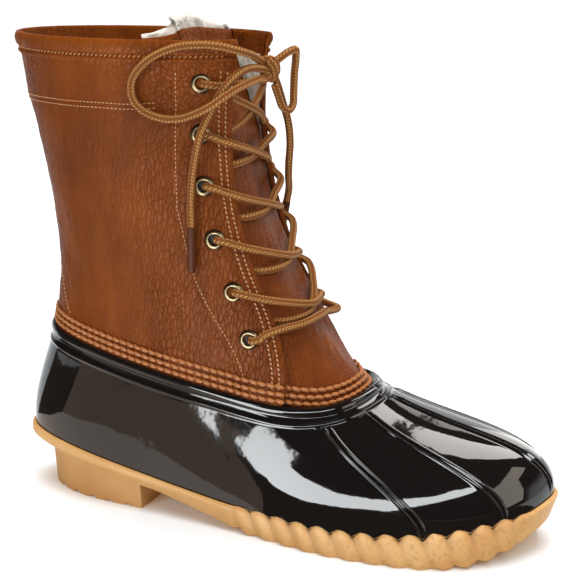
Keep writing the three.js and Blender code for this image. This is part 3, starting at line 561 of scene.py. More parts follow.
# Braided cord: its map goes round it from 0 to 1 and along it in metres
def cordMaterial():
    material = newMaterial("laceCord")
    tree = material.node_tree
    turn, metres = mapOf(tree)[:2]
    angle = maths(tree, "MULTIPLY", turn, 2 * math.pi)
    strands = maths(tree, "MULTIPLY", angle, 8.0)
    along = maths(tree, "MULTIPLY", metres, 2 * math.pi / 0.0011)
    dotted = maths(tree, "MULTIPLY", metres, 2 * math.pi / 0.0017)
    # Four pairs of fine gold stripes round the cord, each a row of dots
    share = maths(tree, "SUBTRACT", maths(tree, "FRACT", maths(tree, "MULTIPLY", turn, 4.0)), 0.5)
    aside = maths(tree, "SUBTRACT", maths(tree, "ABSOLUTE", maths(tree, "MULTIPLY", share, 2.98)), 0.4)
    stripe = rangeOf(tree, maths(tree, "ABSOLUTE", aside), 0.1, 0.3, 1.0, 0.0, "LINEAR")
    wave = maths(tree, "SINE", maths(tree, "ADD", dotted, maths(tree, "MULTIPLY", angle, 4.0)))
    gold = maths(tree, "MULTIPLY", stripe, maths(tree, "MULTIPLY_ADD", wave, 0.6, 0.55))
    braid = maths(tree, "SINE", maths(tree, "ADD", strands, along))
    braidBack = maths(tree, "SINE", maths(tree, "SUBTRACT", strands, along))
    weave = maths(tree, "MULTIPLY", braid, braidBack)
    # Painted shade: the dips of the weave are painted darker brown, as shade between the strands
    shade = maths(tree, "MULTIPLY_ADD", weave, 0.35, 0.5)
    brown = mixColour(tree, shade, (0.15, 0.045, 0.01, 1), (0.29, 0.1, 0.025, 1))
    colour = mixColour(tree, gold, brown, (0.75, 0.42, 0.14, 1))
    surfaceOf(tree, {"Base Color": colour, "Roughness": 0.6, "Normal": bumpOf(tree, 0.0003, weave, 0.7),
                     "Specular IOR Level": 0.06})
    return material


def plainMaterial(name, colour, roughness, metallic=0.0, bumpScale=0.0, bumpDepth=0.0, **more):
    material = newMaterial(name)
    tree = material.node_tree
    inputs = {"Base Color": (*colour, 1), "Roughness": roughness, "Metallic": metallic}
    inputs.update({key.replace("_", " "): value for key, value in more.items()})
    if bumpScale:
        inputs["Normal"] = bumpOf(tree, bumpDepth, noiseOf(tree, placeOf(tree), bumpScale, 4.0))
    surfaceOf(tree, inputs)
    return material


leather = leatherMaterial("leather", (0.25, 0.062, 0.007), (0.172, 0.039, 0.004), (0.105, 0.022, 0.0024),
                          0.00048, 0.4, cells=430.0, plain=0.35)
tongueLeather = leatherMaterial("tongueLeather", (0.26, 0.066, 0.008), (0.17, 0.038, 0.0045),
                                (0.1, 0.02, 0.0025), 0.0003, 0.42, plain=0.7)
glossRubber = rubberMaterial()
gum = gumMaterial("gumRubber", (0.7, 0.4, 0.145))
# The heel block gets a darker copy of the gum: painted shade for its place under the sole's band
shadedHeelGum = gumMaterial("shadedHeelGum", (0.64, 0.34, 0.11))
laceCord = cordMaterial()
fleece = plainMaterial("fleece", (0.72, 0.66, 0.57), 0.95,
                       bumpScale=700.0, bumpDepth=0.0004, Sheen_Weight=0.4)
insoleCloth = plainMaterial("insoleCloth", (0.55, 0.48, 0.38), 0.95, bumpScale=600.0, bumpDepth=0.0006)
brass = plainMaterial("agedBrass", (0.17, 0.125, 0.07), 0.33,
                      metallic=1.0, bumpScale=300.0, bumpDepth=0.00008)
# Black for the disc in each eyelet: painted shade for the hole
holeShade = plainMaterial("eyeletHoleShade", (0.004, 0.003, 0.002), 0.9)
tanThread = plainMaterial("tanThread", (0.37, 0.13, 0.036), 0.5, Specular_IOR_Level=0.25)
paleThread = plainMaterial("paleThread", (0.5, 0.25, 0.1), 0.6)
agletPlastic = plainMaterial("agletPlastic", (0.07, 0.018, 0.005), 0.5, Specular_IOR_Level=0.1)
print("shaders made")

# Laces
lace = {
    "radius": 1.9,
    "eyeletTop": 0.89,
    "eyeletPitch": 0.131,
    "farRaise": 0.03,
    "eyeletInset": 15,
    "eyestayStep": 0.7,
    "rimHeight": 1.3,
}


# Evenly spaced points on a smooth line through the given ones
def smoothLine(points, step):
    points = np.asarray(points, float)
    padded = np.vstack([2 * points[0] - points[1], points, 2 * points[-1] - points[-2]])
    dense = []
    for i in range(len(points) - 1):
        level = list(padded[i:i + 4])
        knots = [0.0]
        for a, b in zip(level, level[1:]):
            knots.append(knots[-1] + max(np.linalg.norm(b - a), 1e-6) ** 0.5)
        t = np.linspace(knots[1], knots[2], 40, endpoint=False)[:, None]
        first, second = list(zip(knots, knots[1:])), list(zip(knots, knots[2:]))
        for spans in (first, second, [(knots[1], knots[2])]):
            level = [a * (high - t) / (high - low) + b * (t - low) / (high - low)
                     for a, b, (low, high) in zip(level, level[1:], spans)]
        dense.append(level[0])
    dense.append(points[-1:])
    dense = np.vstack(dense)
    lengths = lengthsAlong(dense)
    count = max(3, int(round(lengths[-1] / step)) + 1)
    wanted = np.linspace(0, lengths[-1], count)
    return np.stack([np.interp(wanted, lengths, dense[:, k]) for k in range(3)], axis=-1)


# A round tube along a line, with a rounded cap at each end
def tubePart(line, radius, sides=18, roll=0.0):
    line = np.asarray(line, float)
    tangent = unit(np.gradient(line, axis=0))
    radii = np.broadcast_to(np.asarray(radius, float), len(line))
    turns = np.linspace(0, 1, sides + 1)
    angle = 2 * math.pi * (turns + roll)
    side = unit(np.cross(tangent[0], [0.3, 0.2, 1.0]))
    rings = []
    for centre, t, r in zip(line, tangent, radii):
        side = unit(side - t * np.dot(side, t))
        ring = np.cos(angle)[:, None] * side + np.sin(angle)[:, None] * np.cross(t, side)
        rings.append(centre + r * ring)
    points = np.array(rings)
    uv = np.stack(np.broadcast_arrays(turns[None, :], 0.001 * lengthsAlong(line)[:, None]), axis=-1)
    parts = [(points, gridFaces(len(line), sides + 1), uv)]
    for end, way in ((0, -1), (-1, 1)):
        cap = []
        for share in (1.0, 0.8, 0.45, 0.02):
            push = radii[end] * 0.5 * math.sqrt(1 - share * share)
            cap.append(line[end] + (points[end] - line[end]) * share + tangent[end] * way * push)
        capUv = np.broadcast_to(uv[end], (4, sides + 1, 2)).copy()
        parts.append((np.array(cap), gridFaces(4, sides + 1, flip=way < 0), capUv))
    return joinParts(parts)


def cordObject(name, parts):
    points, faces, uv = joinParts(parts)
    return meshObject(name, points, faces, laceCord, uv)


def eyeletAt(side, number):
    s = lace["eyeletTop"] - lace["eyeletPitch"] * (6 - number) + (lace["farRaise"] if side == "far" else 0)
    edge = float(throatAt(s)[side + "Edge"])
    inwards = -1 if side == "near" else 1
    u = edge + inwards * lace["eyeletInset"] / float(stretch(leatherSurface, edge + 0.3 * inwards, s))
    return {"side": side, "u": u, "s": s, "edge": edge, "inwards": inwards}


def onLeather(u, s, lift):
    return lifted(leatherSurface, u, s, lift).reshape(3)


def onThroat(u, s, lift):
    return lifted(throatSurface, u, s, lift).reshape(3)


# The last stretch of a strand: over the edge of the quarter, on to the eyelet and down into it
def intoEyelet(place, climb):
    r = lace["radius"]
    over = lace["eyestayStep"] + r + 0.3
    u, s, edge = place["u"], place["s"], place["edge"]
    middle = 0.5 * (u + edge)
    rim = u + 0.36 * (edge - u)
    return [
        onLeather(edge, s - 0.1 * climb, over + 0.6),
        onLeather(middle, s - 0.05 * climb, over + 0.5),
        onLeather(rim, s - 0.02 * climb, over + lace["rimHeight"] + 0.4),
        onLeather(u + 0.12 * (edge - u), s, over + 0.5),
        onLeather(u + 0.02 * (edge - u), s, -1.5),
    ]


def strandLine(fromPlace, toPlace, raised):
    r = lace["radius"]
    low = r - 1.6
    way = 1 if toPlace["u"] > fromPlace["u"] else -1
    climb = toPlace["s"] - fromPlace["s"]
    across = float(stretch(leatherSurface, fromPlace["edge"], fromPlace["s"]))
    startU = fromPlace["edge"] + way * (r - 4) / across
    endU = toPlace["edge"]
    points = []
    # It comes out from under the quarter's edge: share of the way across, share of the climb, lift
    for share, rise, lift in ((0, 0.4, low - 3.8), (0.12, 0.46, low - 1.0),
                              (0.3, 0.54, low + 0.4 + 0.6 * raised), (0.5, 0.62, low + 0.8 + raised),
                              (0.72, 0.74, low + 1.6 + 0.5 * raised)):
        points.append(onThroat(startU + (endU - startU) * share, fromPlace["s"] + rise * climb, lift))
    return smoothLine(points + intoEyelet(toPlace, climb), 0.9)


def addCrossings():
    for i in range(1, 5):
        nearLow, farLow = eyeletAt("near", i), eyeletAt("far", i)
        nearHigh, farHigh = eyeletAt("near", i + 1), eyeletAt("far", i + 1)
        under = tubePart(strandLine(nearLow, farHigh, 0.2), lace["radius"], roll=0.05)
        over = tubePart(strandLine(farLow, nearHigh, 2.2), lace["radius"], roll=0.1)
        obj = cordObject(f"laceCrossing{i}", [under, over])
        finishPiece(obj, "lace_cord", f"lace_crossing_{i}")


def addBottomBar():
    near, far = eyeletAt("near", 1), eyeletAt("far", 1)
    over = lace["eyestayStep"] + lace["radius"] + 0.3
    middle = [onThroat(near["edge"] + (far["edge"] - near["edge"]) * share, rise, over + 0.2)
              for share, rise in ((0.15, 0.293), (0.32, 0.3), (0.5, 0.288), (0.7, 0.268), (0.88, 0.25))]
    points = list(reversed(intoEyelet(near, -0.38))) + middle + intoEyelet(far, 0.2)
    obj = cordObject("laceBottomBar", [tubePart(smoothLine(points, 0.9), lace["radius"])])
    finishPiece(obj, "lace_cord", "lace_bottom_bar")


def addTopCrossing():
    r = lace["radius"]
    low = r - 1.8
    parts = []
    for fromSide, toSide, raised in (("near", "far", 0.0), ("far", "near", 2.4)):
        a, b = eyeletAt(fromSide, 5), eyeletAt(toSide, 6)
        way = 1 if b["u"] > a["u"] else -1
        startU = a["edge"] - way * 0.05
        endU = b["edge"] + way * 0.05
        points = []
        for t in (0, 0.25, 0.5, 0.75, 1):
            s = a["s"] + (b["s"] - a["s"]) * (0.1 + 0.66 * t)
            lift = low + raised * math.sin(math.pi * t) - 1.2 * abs(2 * t - 1)
            points.append(onThroat(startU + (endU - startU) * t, s, lift))
        parts.append(tubePart(smoothLine(points, 0.9), r))
    finishPiece(cordObject("laceTopCrossing", parts), "lace_cord", "lace_crossing_5")


knot = {
    "place": np.array([-10.5, 2, 224.0]),
    "strands": [
        [(1.2, -3.6, 4.6), (2.6, -1.6, 2.0), (2.8, 0.2, -1.2), (1.6, 2.4, -4.4), (-1.6, 2.6, -4.4),
         (-3.2, 0.4, -1.0), (-2.8, -2.2, 3.2), (-0.6, -3.2, 5.2), (1.8, -1.4, 5.0), (3.2, 0.8, 2.2),
         (2.6, 2.8, -1.6)],
        [(-1.0, -3.0, 4.6), (0.0, 0.0, 1.6), (0.4, 2.6, 3.4)],
        [(-0.6, -3.2, 0.4), (0.4, 0.0, -1.2), (0.2, 2.8, -2.6)],
        [(-0.8, -2.8, -4.4), (0.2, 0.2, -3.0), (0.6, 2.2, 0.6)],
    ],
}


# The two strands from the top eyelets run up to the knot
def addTopBar():
    parts = []
    for side, turn in (("near", -1), ("far", 1)):
        place = eyeletAt(side, 6)
        start = list(reversed(intoEyelet(place, 0)))
        ends = list(knot["place"] + np.array([(-2.5, 9.0 * turn, -4.5), (-1.5, 2.5 * turn, -3.0)]))
        parts.append(tubePart(smoothLine(start[:4] + ends, 0.9), lace["radius"]))
    finishPiece(cordObject("laceTopBar", parts), "lace_cord", "lace_top_bar")


def addKnot():
    parts = [tubePart(smoothLine(knot["place"] + np.array(line), 0.7), lace["radius"])
             for line in knot["strands"]]
    finishPiece(cordObject("laceKnot", parts), "lace_cord", "lace_knot")


# Free cords of the bow, from the knot outwards
bow = {
    "nearLoop": [
        (-12.5, -2.5, 228), (-13.5, -12, 232), (-13, -19, 233.5), (-15.5, -26, 235.5),
        (-22, -31.5, 237.5), (-30, -34.5, 238), (-41.5, -38.5, 236.5), (-54.5, -41, 230),
        (-62.5, -41, 220.5), (-62.5, -41, 212), (-57.5, -41, 206.5), (-47.5, -40, 203),
        (-38, -39.5, 203.5), (-29.5, -40, 206.5), (-22, -39.5, 210.5), (-17, -37, 214.5),
        (-13, -31, 218), (-10.5, -22, 220), (-10.5, -12, 220.5), (-11.5, -2.5, 219.5),
    ],
    "nearEnd": [
        (-11.5, -2.5, 224.5), (-12.5, -12, 226), (-13.5, -20, 226), (-15.5, -27.5, 223.5),
        (-18.5, -32.5, 218.5), (-22, -34.5, 212), (-25.5, -36.5, 204), (-27.5, -40, 197),
        (-29.5, -40.5, 188), (-31.5, -40, 178), (-32.5, -40, 165), (-32, -40.5, 152),
    ],
    "farLoop": [
        (-9.5, 5, 227), (-4, 10, 232), (-2, 14, 233), (-3, 17.5, 229), (-4.5, 19.5, 220), (-4.5, 19, 211),
        (-4, 17, 205.5), (-5, 14, 203), (-7, 11, 205), (-8, 8, 210.5), (-9, 5.5, 216),
    ],
    "farEnd": [
        (-10, 5.5, 222), (-10.5, 13, 215), (-9.5, 17.5, 206), (-7.5, 20, 196), (-7, 21.5, 186),
        (-8.5, 24, 175), (-11, 30, 167), (-15, 40.5, 158), (-16.5, 41.5, 151.5),
    ],
    "agletLength": 22,
    "agletRadius": 2.1,
}


def addAglet(name, line, node):
    way = unit(np.array(bow[name][-1], float) - np.array(bow[name][-2], float))
    shares = np.array([-0.02, 0.0, 0.04, 0.3, 0.6, 0.9, 0.97, 1.0])
    tip = line[-1] + way * (shares * bow["agletLength"])[:, None]
    thick = bow["agletRadius"] * np.array([0.86, 0.97, 1.0, 0.99, 0.97, 0.94, 0.86, 0.55])
    points, faces, uv = tubePart(tip, thick, sides=16)
    return finishPiece(meshObject(name + "Aglet", points, faces, agletPlastic, uv), "aglet", node)


def addBow():
    for name, node, agletNode in (("nearLoop", "lace_loop_near", None), ("farLoop", "lace_loop_far", None),
                                  ("nearEnd", "lace_end_near", "aglet_near"),
                                  ("farEnd", "lace_end_far", "aglet_far")):
        line = smoothLine(bow[name], 0.8)
        obj = finishPiece(cordObject(name, [tubePart(line, lace["radius"])]), "lace_cord", node)
        path = inMetres(line)
        length = float(lengthsAlong(path)[-1])
        if agletNode:
            addAglet(name, line, agletNode)
        print(f"{name} {length:.3f} m")


addCrossings()
addBottomBar()
addTopCrossing()
addTopBar()
addKnot()
addBow()
print("laces made")

# Rubber lower
rubber = {
    "wall": 2.5,
    "ridgeDrop": 8,
    "ribSections": [6, 7, 8, 9, 10],
    "ridgeApart": 1.45,
    "ridgeWide": 0.75,
    "ribHeight": 1.35,
    # The ridge, the flat band and the bead, as drop under the rim and stand-out
    "rimProfile": [
        (10.0, 0.0), (9.4, 0.05), (8.9, 0.5), (8.5, 0.75), (8.0, 0.75), (7.6, 0.5), (7.2, 0.08),
        (6.4, 0.0), (5.4, 0.0), (4.6, 0.02), (4.1, 0.25), (3.8, 0.9), (3.3, 1.45), (2.5, 1.82),
        (1.6, 1.95), (0.8, 1.85), (0.2, 1.55), (-0.2, 1.05), (-0.35, 0.4),
    ],
    # The flange inside the leather, as height over the rim and lift
    "flange": [(-0.3, -3.4), (5, -3.6), (13, -3.8), (13, -5.4), (0, -5.4)],
}


def rubberColumns():
    columns = []
    asides = np.arange(-4.4, 4.41, 0.4)
    for u in np.linspace(0, 5.72, 150):
        columns.append((u, 0.0))
    for rib in rubber["ribSections"]:
        columns.extend((rib, aside) for aside in asides)
        if rib < rubber["ribSections"][-1]:
            for u in np.linspace(rib + 0.24, rib + 0.76, 16):
                columns.append((u, 0.0))
    for u in np.linspace(10.28, 15.96, 150):
        columns.append((u, 0.0))
    return np.array(columns)


def addRubberShell():
    columns = rubberColumns()
    middle = columns[:, 0][None, :]
    aside = columns[:, 1][None, :]
    top = riseBelowRim(middle, rubber["ridgeDrop"] + 2.2)
    shares = [np.linspace(-0.006, 0.1, 7), np.linspace(0.13, 0.93, 62), np.linspace(0.94, 1, 8)]
    shares = np.concatenate(shares)[:, None]
    s = shares * top
    u = middle + aside / stretch(rubberSurface, middle + 0 * s, s)
    # Two ridges with a valley between make each rib, which dies away towards the sole
    foot = smoothStep(shares, 0.0, 0.13)
    head = 1 - 0.75 * smoothStep(shares, 0.955, 1.0)
    apart = rubber["ridgeApart"] * (0.55 + 0.45 * smoothStep(shares, 0.02, 0.22))
    profile = np.exp(-((np.abs(aside) - apart) / rubber["ridgeWide"]) ** 2)
    isRib = (np.abs(aside) > 0) | np.isin(middle, rubber["ribSections"])
    lift = np.where(isRib, rubber["ribHeight"] * profile * foot * head, 0.0)
    # Faint waves, as moulded rubber has
    base = rubberSurface(u, s)
    lift = lift + 0.02 * waves(base, 34, 3) + 0.006 * waves(base, 13, 4)
    wall = lifted(rubberSurface, u, s, lift)
    rim = []
    topU = (middle + aside / stretch(rubberSurface, middle, np.ones_like(middle)))[0]
    for drop, stand in rubber["rimProfile"]:
        rim.append(lifted(rubberSurface, topU, riseBelowRim(topU, drop), stand))
    # Behind the tongue's foot the flange lies deeper
    deeper = 3.5 * (smoothStep(topU, 3.5, 4.25) - smoothStep(topU, 11.75, 12.5))
    for height, depth in rubber["flange"]:
        rim.append(lifted(leatherSurface, topU, riseAboveRim(topU, height), depth - deeper))
    inner = []
    for share in (0.9, 0.75, 0.6, 0.45, 0.3, 0.15, 0.0):
        inner.append(lifted(rubberSurface, topU, share * top[0], -rubber["wall"]))
    points = np.concatenate([wall, np.array(rim), np.array(inner)], axis=0)
    rows, count = points.shape[:2]
    obj = meshObject("rubberShell", points, gridFaces(rows, count, True, True), glossRubber)
    finishPiece(obj, "gloss_rubber", "rubber_shell")


addRubberShell()
print("rubber lower made")

# Sole
sole = {
    "seatGap": 0.4,
    "lipWidth": 1.7,
    "lipHeight": 1.2,
    "scallopCrest": 2.9,
    "scallopDepth": 2.7,
    "scallopPitch": 11,
    "scallopStart": 3.8,
    "scallopEnd": 7.45,
    "lag": 0.45,
    # In scallops: over how many the crests grow from the waist on, and over how many they fade at the toe
    "crestGrow": 5,
    "toeFade": 1.625,
    "stepsPerScallop": 16,
    "heelBreast": -64,
    "heelDraft": 2,
    "notchCount": 5,
    "notchStart": 12,
    "notchHalfWidth": 2.1,
    "notchHeight": 1.4,
    "grooveStart": 30,
    "grooveEnd": 102,
    "groovePitch": 11.08,
    "grooveDepth": 2.0,
}


def solePlaces():
    fine = np.linspace(sole["scallopStart"], sole["scallopEnd"], 800)
    points = featherEdge(fine)
    lengths = lengthsAlong(points)
    count = int(round(lengths[-1] / sole["scallopPitch"]))
    phases = np.arange(sole["stepsPerScallop"] * count + 1) / sole["stepsPerScallop"]
    wanted = lengths[-1] * phases / count
    lateral = np.interp(wanted, lengths, fine)
    fade = np.minimum(1, (count - phases) / sole["toeFade"])
    rise = np.minimum(1, phases / 0.5)
    before = np.linspace(0, sole["scallopStart"], 120)[:-1]
    after = np.linspace(sole["scallopEnd"], 8, 24)[1:]
    u = np.concatenate([before, lateral, after])
    phase = np.concatenate([np.zeros(len(before)), phases, np.full(len(after), count)])
    depth = np.concatenate([np.zeros(len(before)), fade * rise, np.zeros(len(after))])
    u = np.concatenate([u, around - u[1:-1][::-1]])
    phase = np.concatenate([phase, phase[1:-1][::-1]])
    depth = np.concatenate([depth, depth[1:-1][::-1]])
    return u, phase, depth


def lobe(phase):
    # 1 on a scallop's crest, 0 in the narrower cut between two
    return np.sqrt(np.maximum(0, 1 - np.abs(np.cos(math.pi * phase)) ** 1.6))


def addOutsole():
    u, phase, depth = solePlaces()
    count = len(u)
    edge = featherEdge(u)
    out = outward(featherEdge, u)
    line = soleAt(edge[:, 0])
    underside = np.maximum(0, line["underside"]) * form["heelLift"]
    crest = depth * lobe(phase) * np.minimum(1, 0.15 + phase / sole["crestGrow"])
    lip = sole["lipHeight"] + sole["scallopCrest"] * crest
    lipRise = lip / (3 * sectionAt(u)["edgeReach"] * form["rubberHeight"])
    inner = lifted(rubberSurface, u, lipRise, 0.05)
    side = sole["seatGap"] + sole["lipWidth"] + 0.5
    heelward = smoothStep(-edge[:, 0], 30, 70)
    rows = [edge - out * 0.5 + np.array([0, 0, -0.6]), inner]
    # Painted shade for the gum in the scallop cuts, one row for each row of points, passed on in the map
    shade = [np.zeros(count), np.zeros(count), np.zeros(count)]
    top = lifted(rubberSurface, u, lipRise, 0.55)
    top[:, 2] += 0.25
    rows.append(top)
    shares = np.concatenate([[0.0, 0.03, 0.08, 0.15], np.linspace(0.22, 0.86, 14), [0.92, 0.96, 0.985, 1.0]])
    outerTop = inner + out * (sole["lipWidth"] * 0.85)
    for share in shares:
        z = outerTop[:, 2] + (underside - outerTop[:, 2]) * share
        lobes = lobe(phase - sole["lag"] * share)
        cut = sole["scallopDepth"] * depth * (1 - lobes)
        cut = cut * (0.3 + 0.7 * math.exp(-share / 0.22) + 0.45 * smoothStep(share, 0.6, 1.0))
        bulge = 0.9 * depth * lobes * math.sin(math.pi * min(1, share * 1.05)) ** 0.7
        straight = side + (line["standOut"] - side) * share
        # At the heel a straight band slopes in only near its lower edge
        heelBand = side - 0.4 + (line["standOut"] - side) * smoothStep(share, 0.35, 1.0) * 0.9
        stand = straight * (1 - heelward) + heelBand * heelward
        rounding = 0.5 * (math.exp(-share / 0.035) + math.exp(-(1 - share) / 0.03))
        blend = 1 - math.exp(-share / 0.06)
        start = sole["lipWidth"] * 0.85
        stand = start * (1 - blend) + stand * blend - rounding
        point = edge + out * (stand - cut + bulge)[:, None]
        wave = 1.3 * depth * (lobes - 0.5) * smoothStep(share, 0.7, 1.0)
        flatPart = (underside > 0.5) | (share < 0.9)
        point[:, 2] = np.maximum(0.0, z - np.where(flatPart, wave, 0))
        rows.append(point)
        # Painted shade: darkest in the cuts near the top edge
        shade.append(depth * (1 - lobes) * (0.35 + 0.65 * math.exp(-share / 0.3)))
    # Underside: in from both edges, with grooves cut across the forefoot
    bottom = rows[-1]
    other = bottom[(count - np.arange(count)) % count]
    middle = 0.5 * (bottom + other)
    for share in np.concatenate([[0.02, 0.06], np.linspace(0.1, 1.0, 12)]):
        point = bottom + (middle - bottom) * share
        x = point[:, 0]
        first, last = sole["grooveStart"], sole["grooveEnd"]
        groove = smoothStep(np.cos(2 * math.pi * (x - first - 3.2) / sole["groovePitch"]), 0.55, 0.8)
        where = smoothStep(x, first - 1, first + 1) * (1 - smoothStep(x, last - 1, last + 1))
        point[:, 2] += sole["grooveDepth"] * groove * where * smoothStep(share, 0.25, 0.3)
        rows.append(point)
        shade.append(np.zeros(count))
    points = np.array(rows)
    uv = np.stack([np.array(shade), np.zeros((len(rows), count))], axis=-1)
    obj = meshObject("outsole", points, gridFaces(len(rows), count, False, True, flip=True), gum, uv)
    finishPiece(obj, "gum_rubber", "outsole")


def addHeelBlock():
    nearEnd = 2.0
    while featherEdge(np.array(nearEnd))[0] < sole["heelBreast"]:
        nearEnd += 0.01
    farEnd = 2.0
    while featherEdge(np.array(-farEnd))[0] < sole["heelBreast"]:
        farEnd += 0.01
    u = np.linspace(-farEnd, nearEnd, 260)
    edge = featherEdge(u)
    out = outward(featherEdge, u)
    line = soleAt(edge[:, 0])
    top = line["underside"] * form["heelLift"] + 1.5
    notchStart = -0.5 * form["lastLength"] + sole["notchStart"]
    rows = []
    for share in (0.0, 0.12, 0.3, 0.5, 0.7, 0.82, 0.88, 0.92, 0.95, 0.975, 1.0):
        point = edge + out * (line["standOut"] - 0.8 - sole["heelDraft"] * share)[:, None]
        point[:, 0] = np.minimum(point[:, 0], sole["heelBreast"])
        z = top * (1 - share)
        notch = np.zeros(len(u))
        for i in range(1, sole["notchCount"] + 1):
            x = notchStart + (sole["heelBreast"] - notchStart) * i / (sole["notchCount"] + 0.8)
            away = np.abs(point[:, 0] - x)
            notch = np.maximum(notch, smoothStep(sole["notchHalfWidth"] - away, 0, 0.9))
        back = notch * (edge[:, 0] > notchStart + 3)
        point[:, 2] = np.maximum(z, sole["notchHeight"] * back)
        rows.append(point)
    wall = np.array(rows)
    ends = wall[:, [-1, 0]]
    across = np.linspace(0, 1, 24)[None, :, None]
    breast = ends[:, :1] + (ends[:, 1:] - ends[:, :1]) * across
    breast[..., 0] = sole["heelBreast"]
    ring = np.concatenate([wall, breast[:, 1:-1]], axis=1)
    count = ring.shape[1]
    centre = ring[-1].mean(axis=0)
    centre[2] = 0
    under = [ring[-1] * (1 - t) + centre * t for t in (0.1, 0.4, 0.8, 0.999)]
    for row in under:
        row[:, 2] = 0
    points = np.concatenate([ring, np.array(under)], axis=0)
    obj = meshObject("heelBlock", points, gridFaces(len(points), count, False, True, flip=True), shadedHeelGum)
    modifier = obj.modifiers.new("edges", "EDGE_SPLIT")
    modifier.split_angle = math.radians(50)
    finishPiece(obj, "gum_rubber")


def addInsole():
    places = np.linspace(0.12, 7.9, 90)
    inset = 4.5
    lateral = featherEdge(places) - outward(featherEdge, places) * inset
    medial = featherEdge(around - places) - outward(featherEdge, around - places) * inset
    rows = []
    for share in np.linspace(0, 1, 34):
        point = lateral + (medial - lateral) * share
        crown = 4.2 * (1 - abs(2 * share - 1) ** 6) ** 0.4 if 0 < share < 1 else 0.2
        point[:, 2] += crown - 1.2 * math.sin(math.pi * share) + 0.25 * waves(point, 9, 21)
        rows.append(point)
    obj = meshObject("insole", np.array(rows), gridFaces(34, 90), insoleCloth)
    finishPiece(obj, "insole_cloth", "insole")


addOutsole()
addHeelBlock()
addInsole()
print("sole made")

# Leather shaft: one skin that rolls over the collar and the throat's edges
shaft = {
    "step": 0.7,
    "tall": 165,
    # The skin below the collar, as drop and lift: a small lip, the stitched groove and the rolled binding
    "collarProfile": [
        (12.4, 0.0), (11.6, 0.0), (10.8, 0.0), (10.2, 0.0), (9.85, 0.1), (9.6, 0.5), (9.2, 0.8), (8.6, 0.9),
        (8.0, 0.8), (7.6, 0.4), (7.25, -0.15), (6.9, -0.35), (6.5, -0.25), (6.2, 0.2), (5.8, 0.65),
        (5.2, 0.95), (4.3, 1.15), (3.4, 1.28), (2.4, 1.32), (1.4, 1.2), (0.6, 0.95), (0.0, 0.5),
    ],
    # Over the top, as height and lift
    "rollProfile": [(0.35, 0.0), (0.5, -0.8), (0.4, -1.6), (0.1, -2.4)],
    # The facing inside the collar, as drop and lift
    "facingProfile": [
        (0.6, -2.7), (2.0, -2.7), (4.0, -2.7), (6.0, -2.7), (8.0, -2.7), (10.0, -2.7), (12.0, -2.7),
        (14.0, -2.7), (15.0, -3.4),
    ],
    # Round the throat's edge, as lift and millimetres past it
    "edgeProfile": [
        (0.45, 0.35), (-0.2, 0.55), (-1.0, 0.55), (-1.7, 0.3), (-2.0, 0.0), (-2.0, -4.0), (-2.0, -9.0),
        (-2.0, -14.0),
    ],
}

# Creases: place round the foot and rise where each starts, the same where it ends, width and depth
creases = [
    (5.05, 0.3, 4.75, 0.12, 2.4, 0.5),
    (4.9, 0.27, 4.55, 0.1, 2.2, 0.4),
    (5.2, 0.22, 5.0, 0.07, 2.2, 0.5),
    (4.6, 0.3, 4.3, 0.16, 2.4, 0.35),
    (4.4, 0.42, 4.15, 0.25, 2.6, 0.35),
    (3.2, 0.3, 2.7, 0.2, 5.0, 0.6),
    (2.2, 0.32, 1.5, 0.26, 5.0, 0.6),
    (1.9, 0.5, 1.5, 0.3, 6.0, 0.5),
    (2.9, 0.72, 2.4, 0.35, 7.0, 0.6),
    (3.6, 0.7, 3.4, 0.4, 8.0, 0.6),
    (11.1, 0.3, 11.4, 0.12, 2.4, 0.5),
    (11.5, 0.45, 11.8, 0.2, 3.0, 0.4),
    (13.0, 0.32, 13.8, 0.22, 5.0, 0.6),
    (13.4, 0.6, 13.9, 0.35, 7.0, 0.6),
]


def creaseLift(u, s):
    total = np.zeros(np.broadcast(u, s).shape)
    wrapped = np.mod(u, around)
    for u0, s0, u1, s1, width, depth in creases:
        across = float(stretch(leatherSurface, 0.5 * (u0 + u1), 0.5 * (s0 + s1)))
        x = (wrapped - u0) * across
        y = (s - s0) * shaft["tall"]
        dx = (u1 - u0) * across
        dy = (s1 - s0) * shaft["tall"]
        t = np.clip((x * dx + y * dy) / (dx * dx + dy * dy), 0, 1)
        distance = np.hypot(x - t * dx, y - t * dy)
        total -= depth * np.exp(-(distance / width) ** 2) * np.sin(math.pi * t) ** 0.5
    return total


# The slow unevenness of the leather with its creases, which the stitches follow too
def reliefAt(u, s):
    base = leatherSurface(u, s)
    calm = smoothStep(s, 0.0, 0.12) * (1 - 0.8 * smoothStep(s, 0.9, 1.0))
    return (0.35 * waves(base, 60, 11) + 0.12 * waves(base, 22, 12)) * calm + creaseLift(u, s)


# Each column: side, whether it's on the eyestay, its share of that part, lift, and millimetres past the edge
def shaftColumns():
    half = [(False, t, 0.0, 0.0) for t in np.linspace(0, 1, 170)]
    half.append((True, 0.012, 0.036 * shaft["step"], 0.0))
    half += [(True, t, shaft["step"], 0.0) for t in np.linspace(0.03, 1, 64)]
    half += [(True, 1.0, lift, past) for lift, past in shaft["edgeProfile"]]
    return [(-1, *c) for c in reversed(half[1:])] + [(1, *c) for c in half]


# Each row: its kind, share of the rise or millimetres from the collar, and lift
def shaftRows():
    rows = [("rise", share, 0.0) for share in np.linspace(0.0, 1.0, 104)]
    for kind in ("collar", "roll", "facing"):
        rows += [(kind, distance, lift) for distance, lift in shaft[kind + "Profile"]]
    return rows


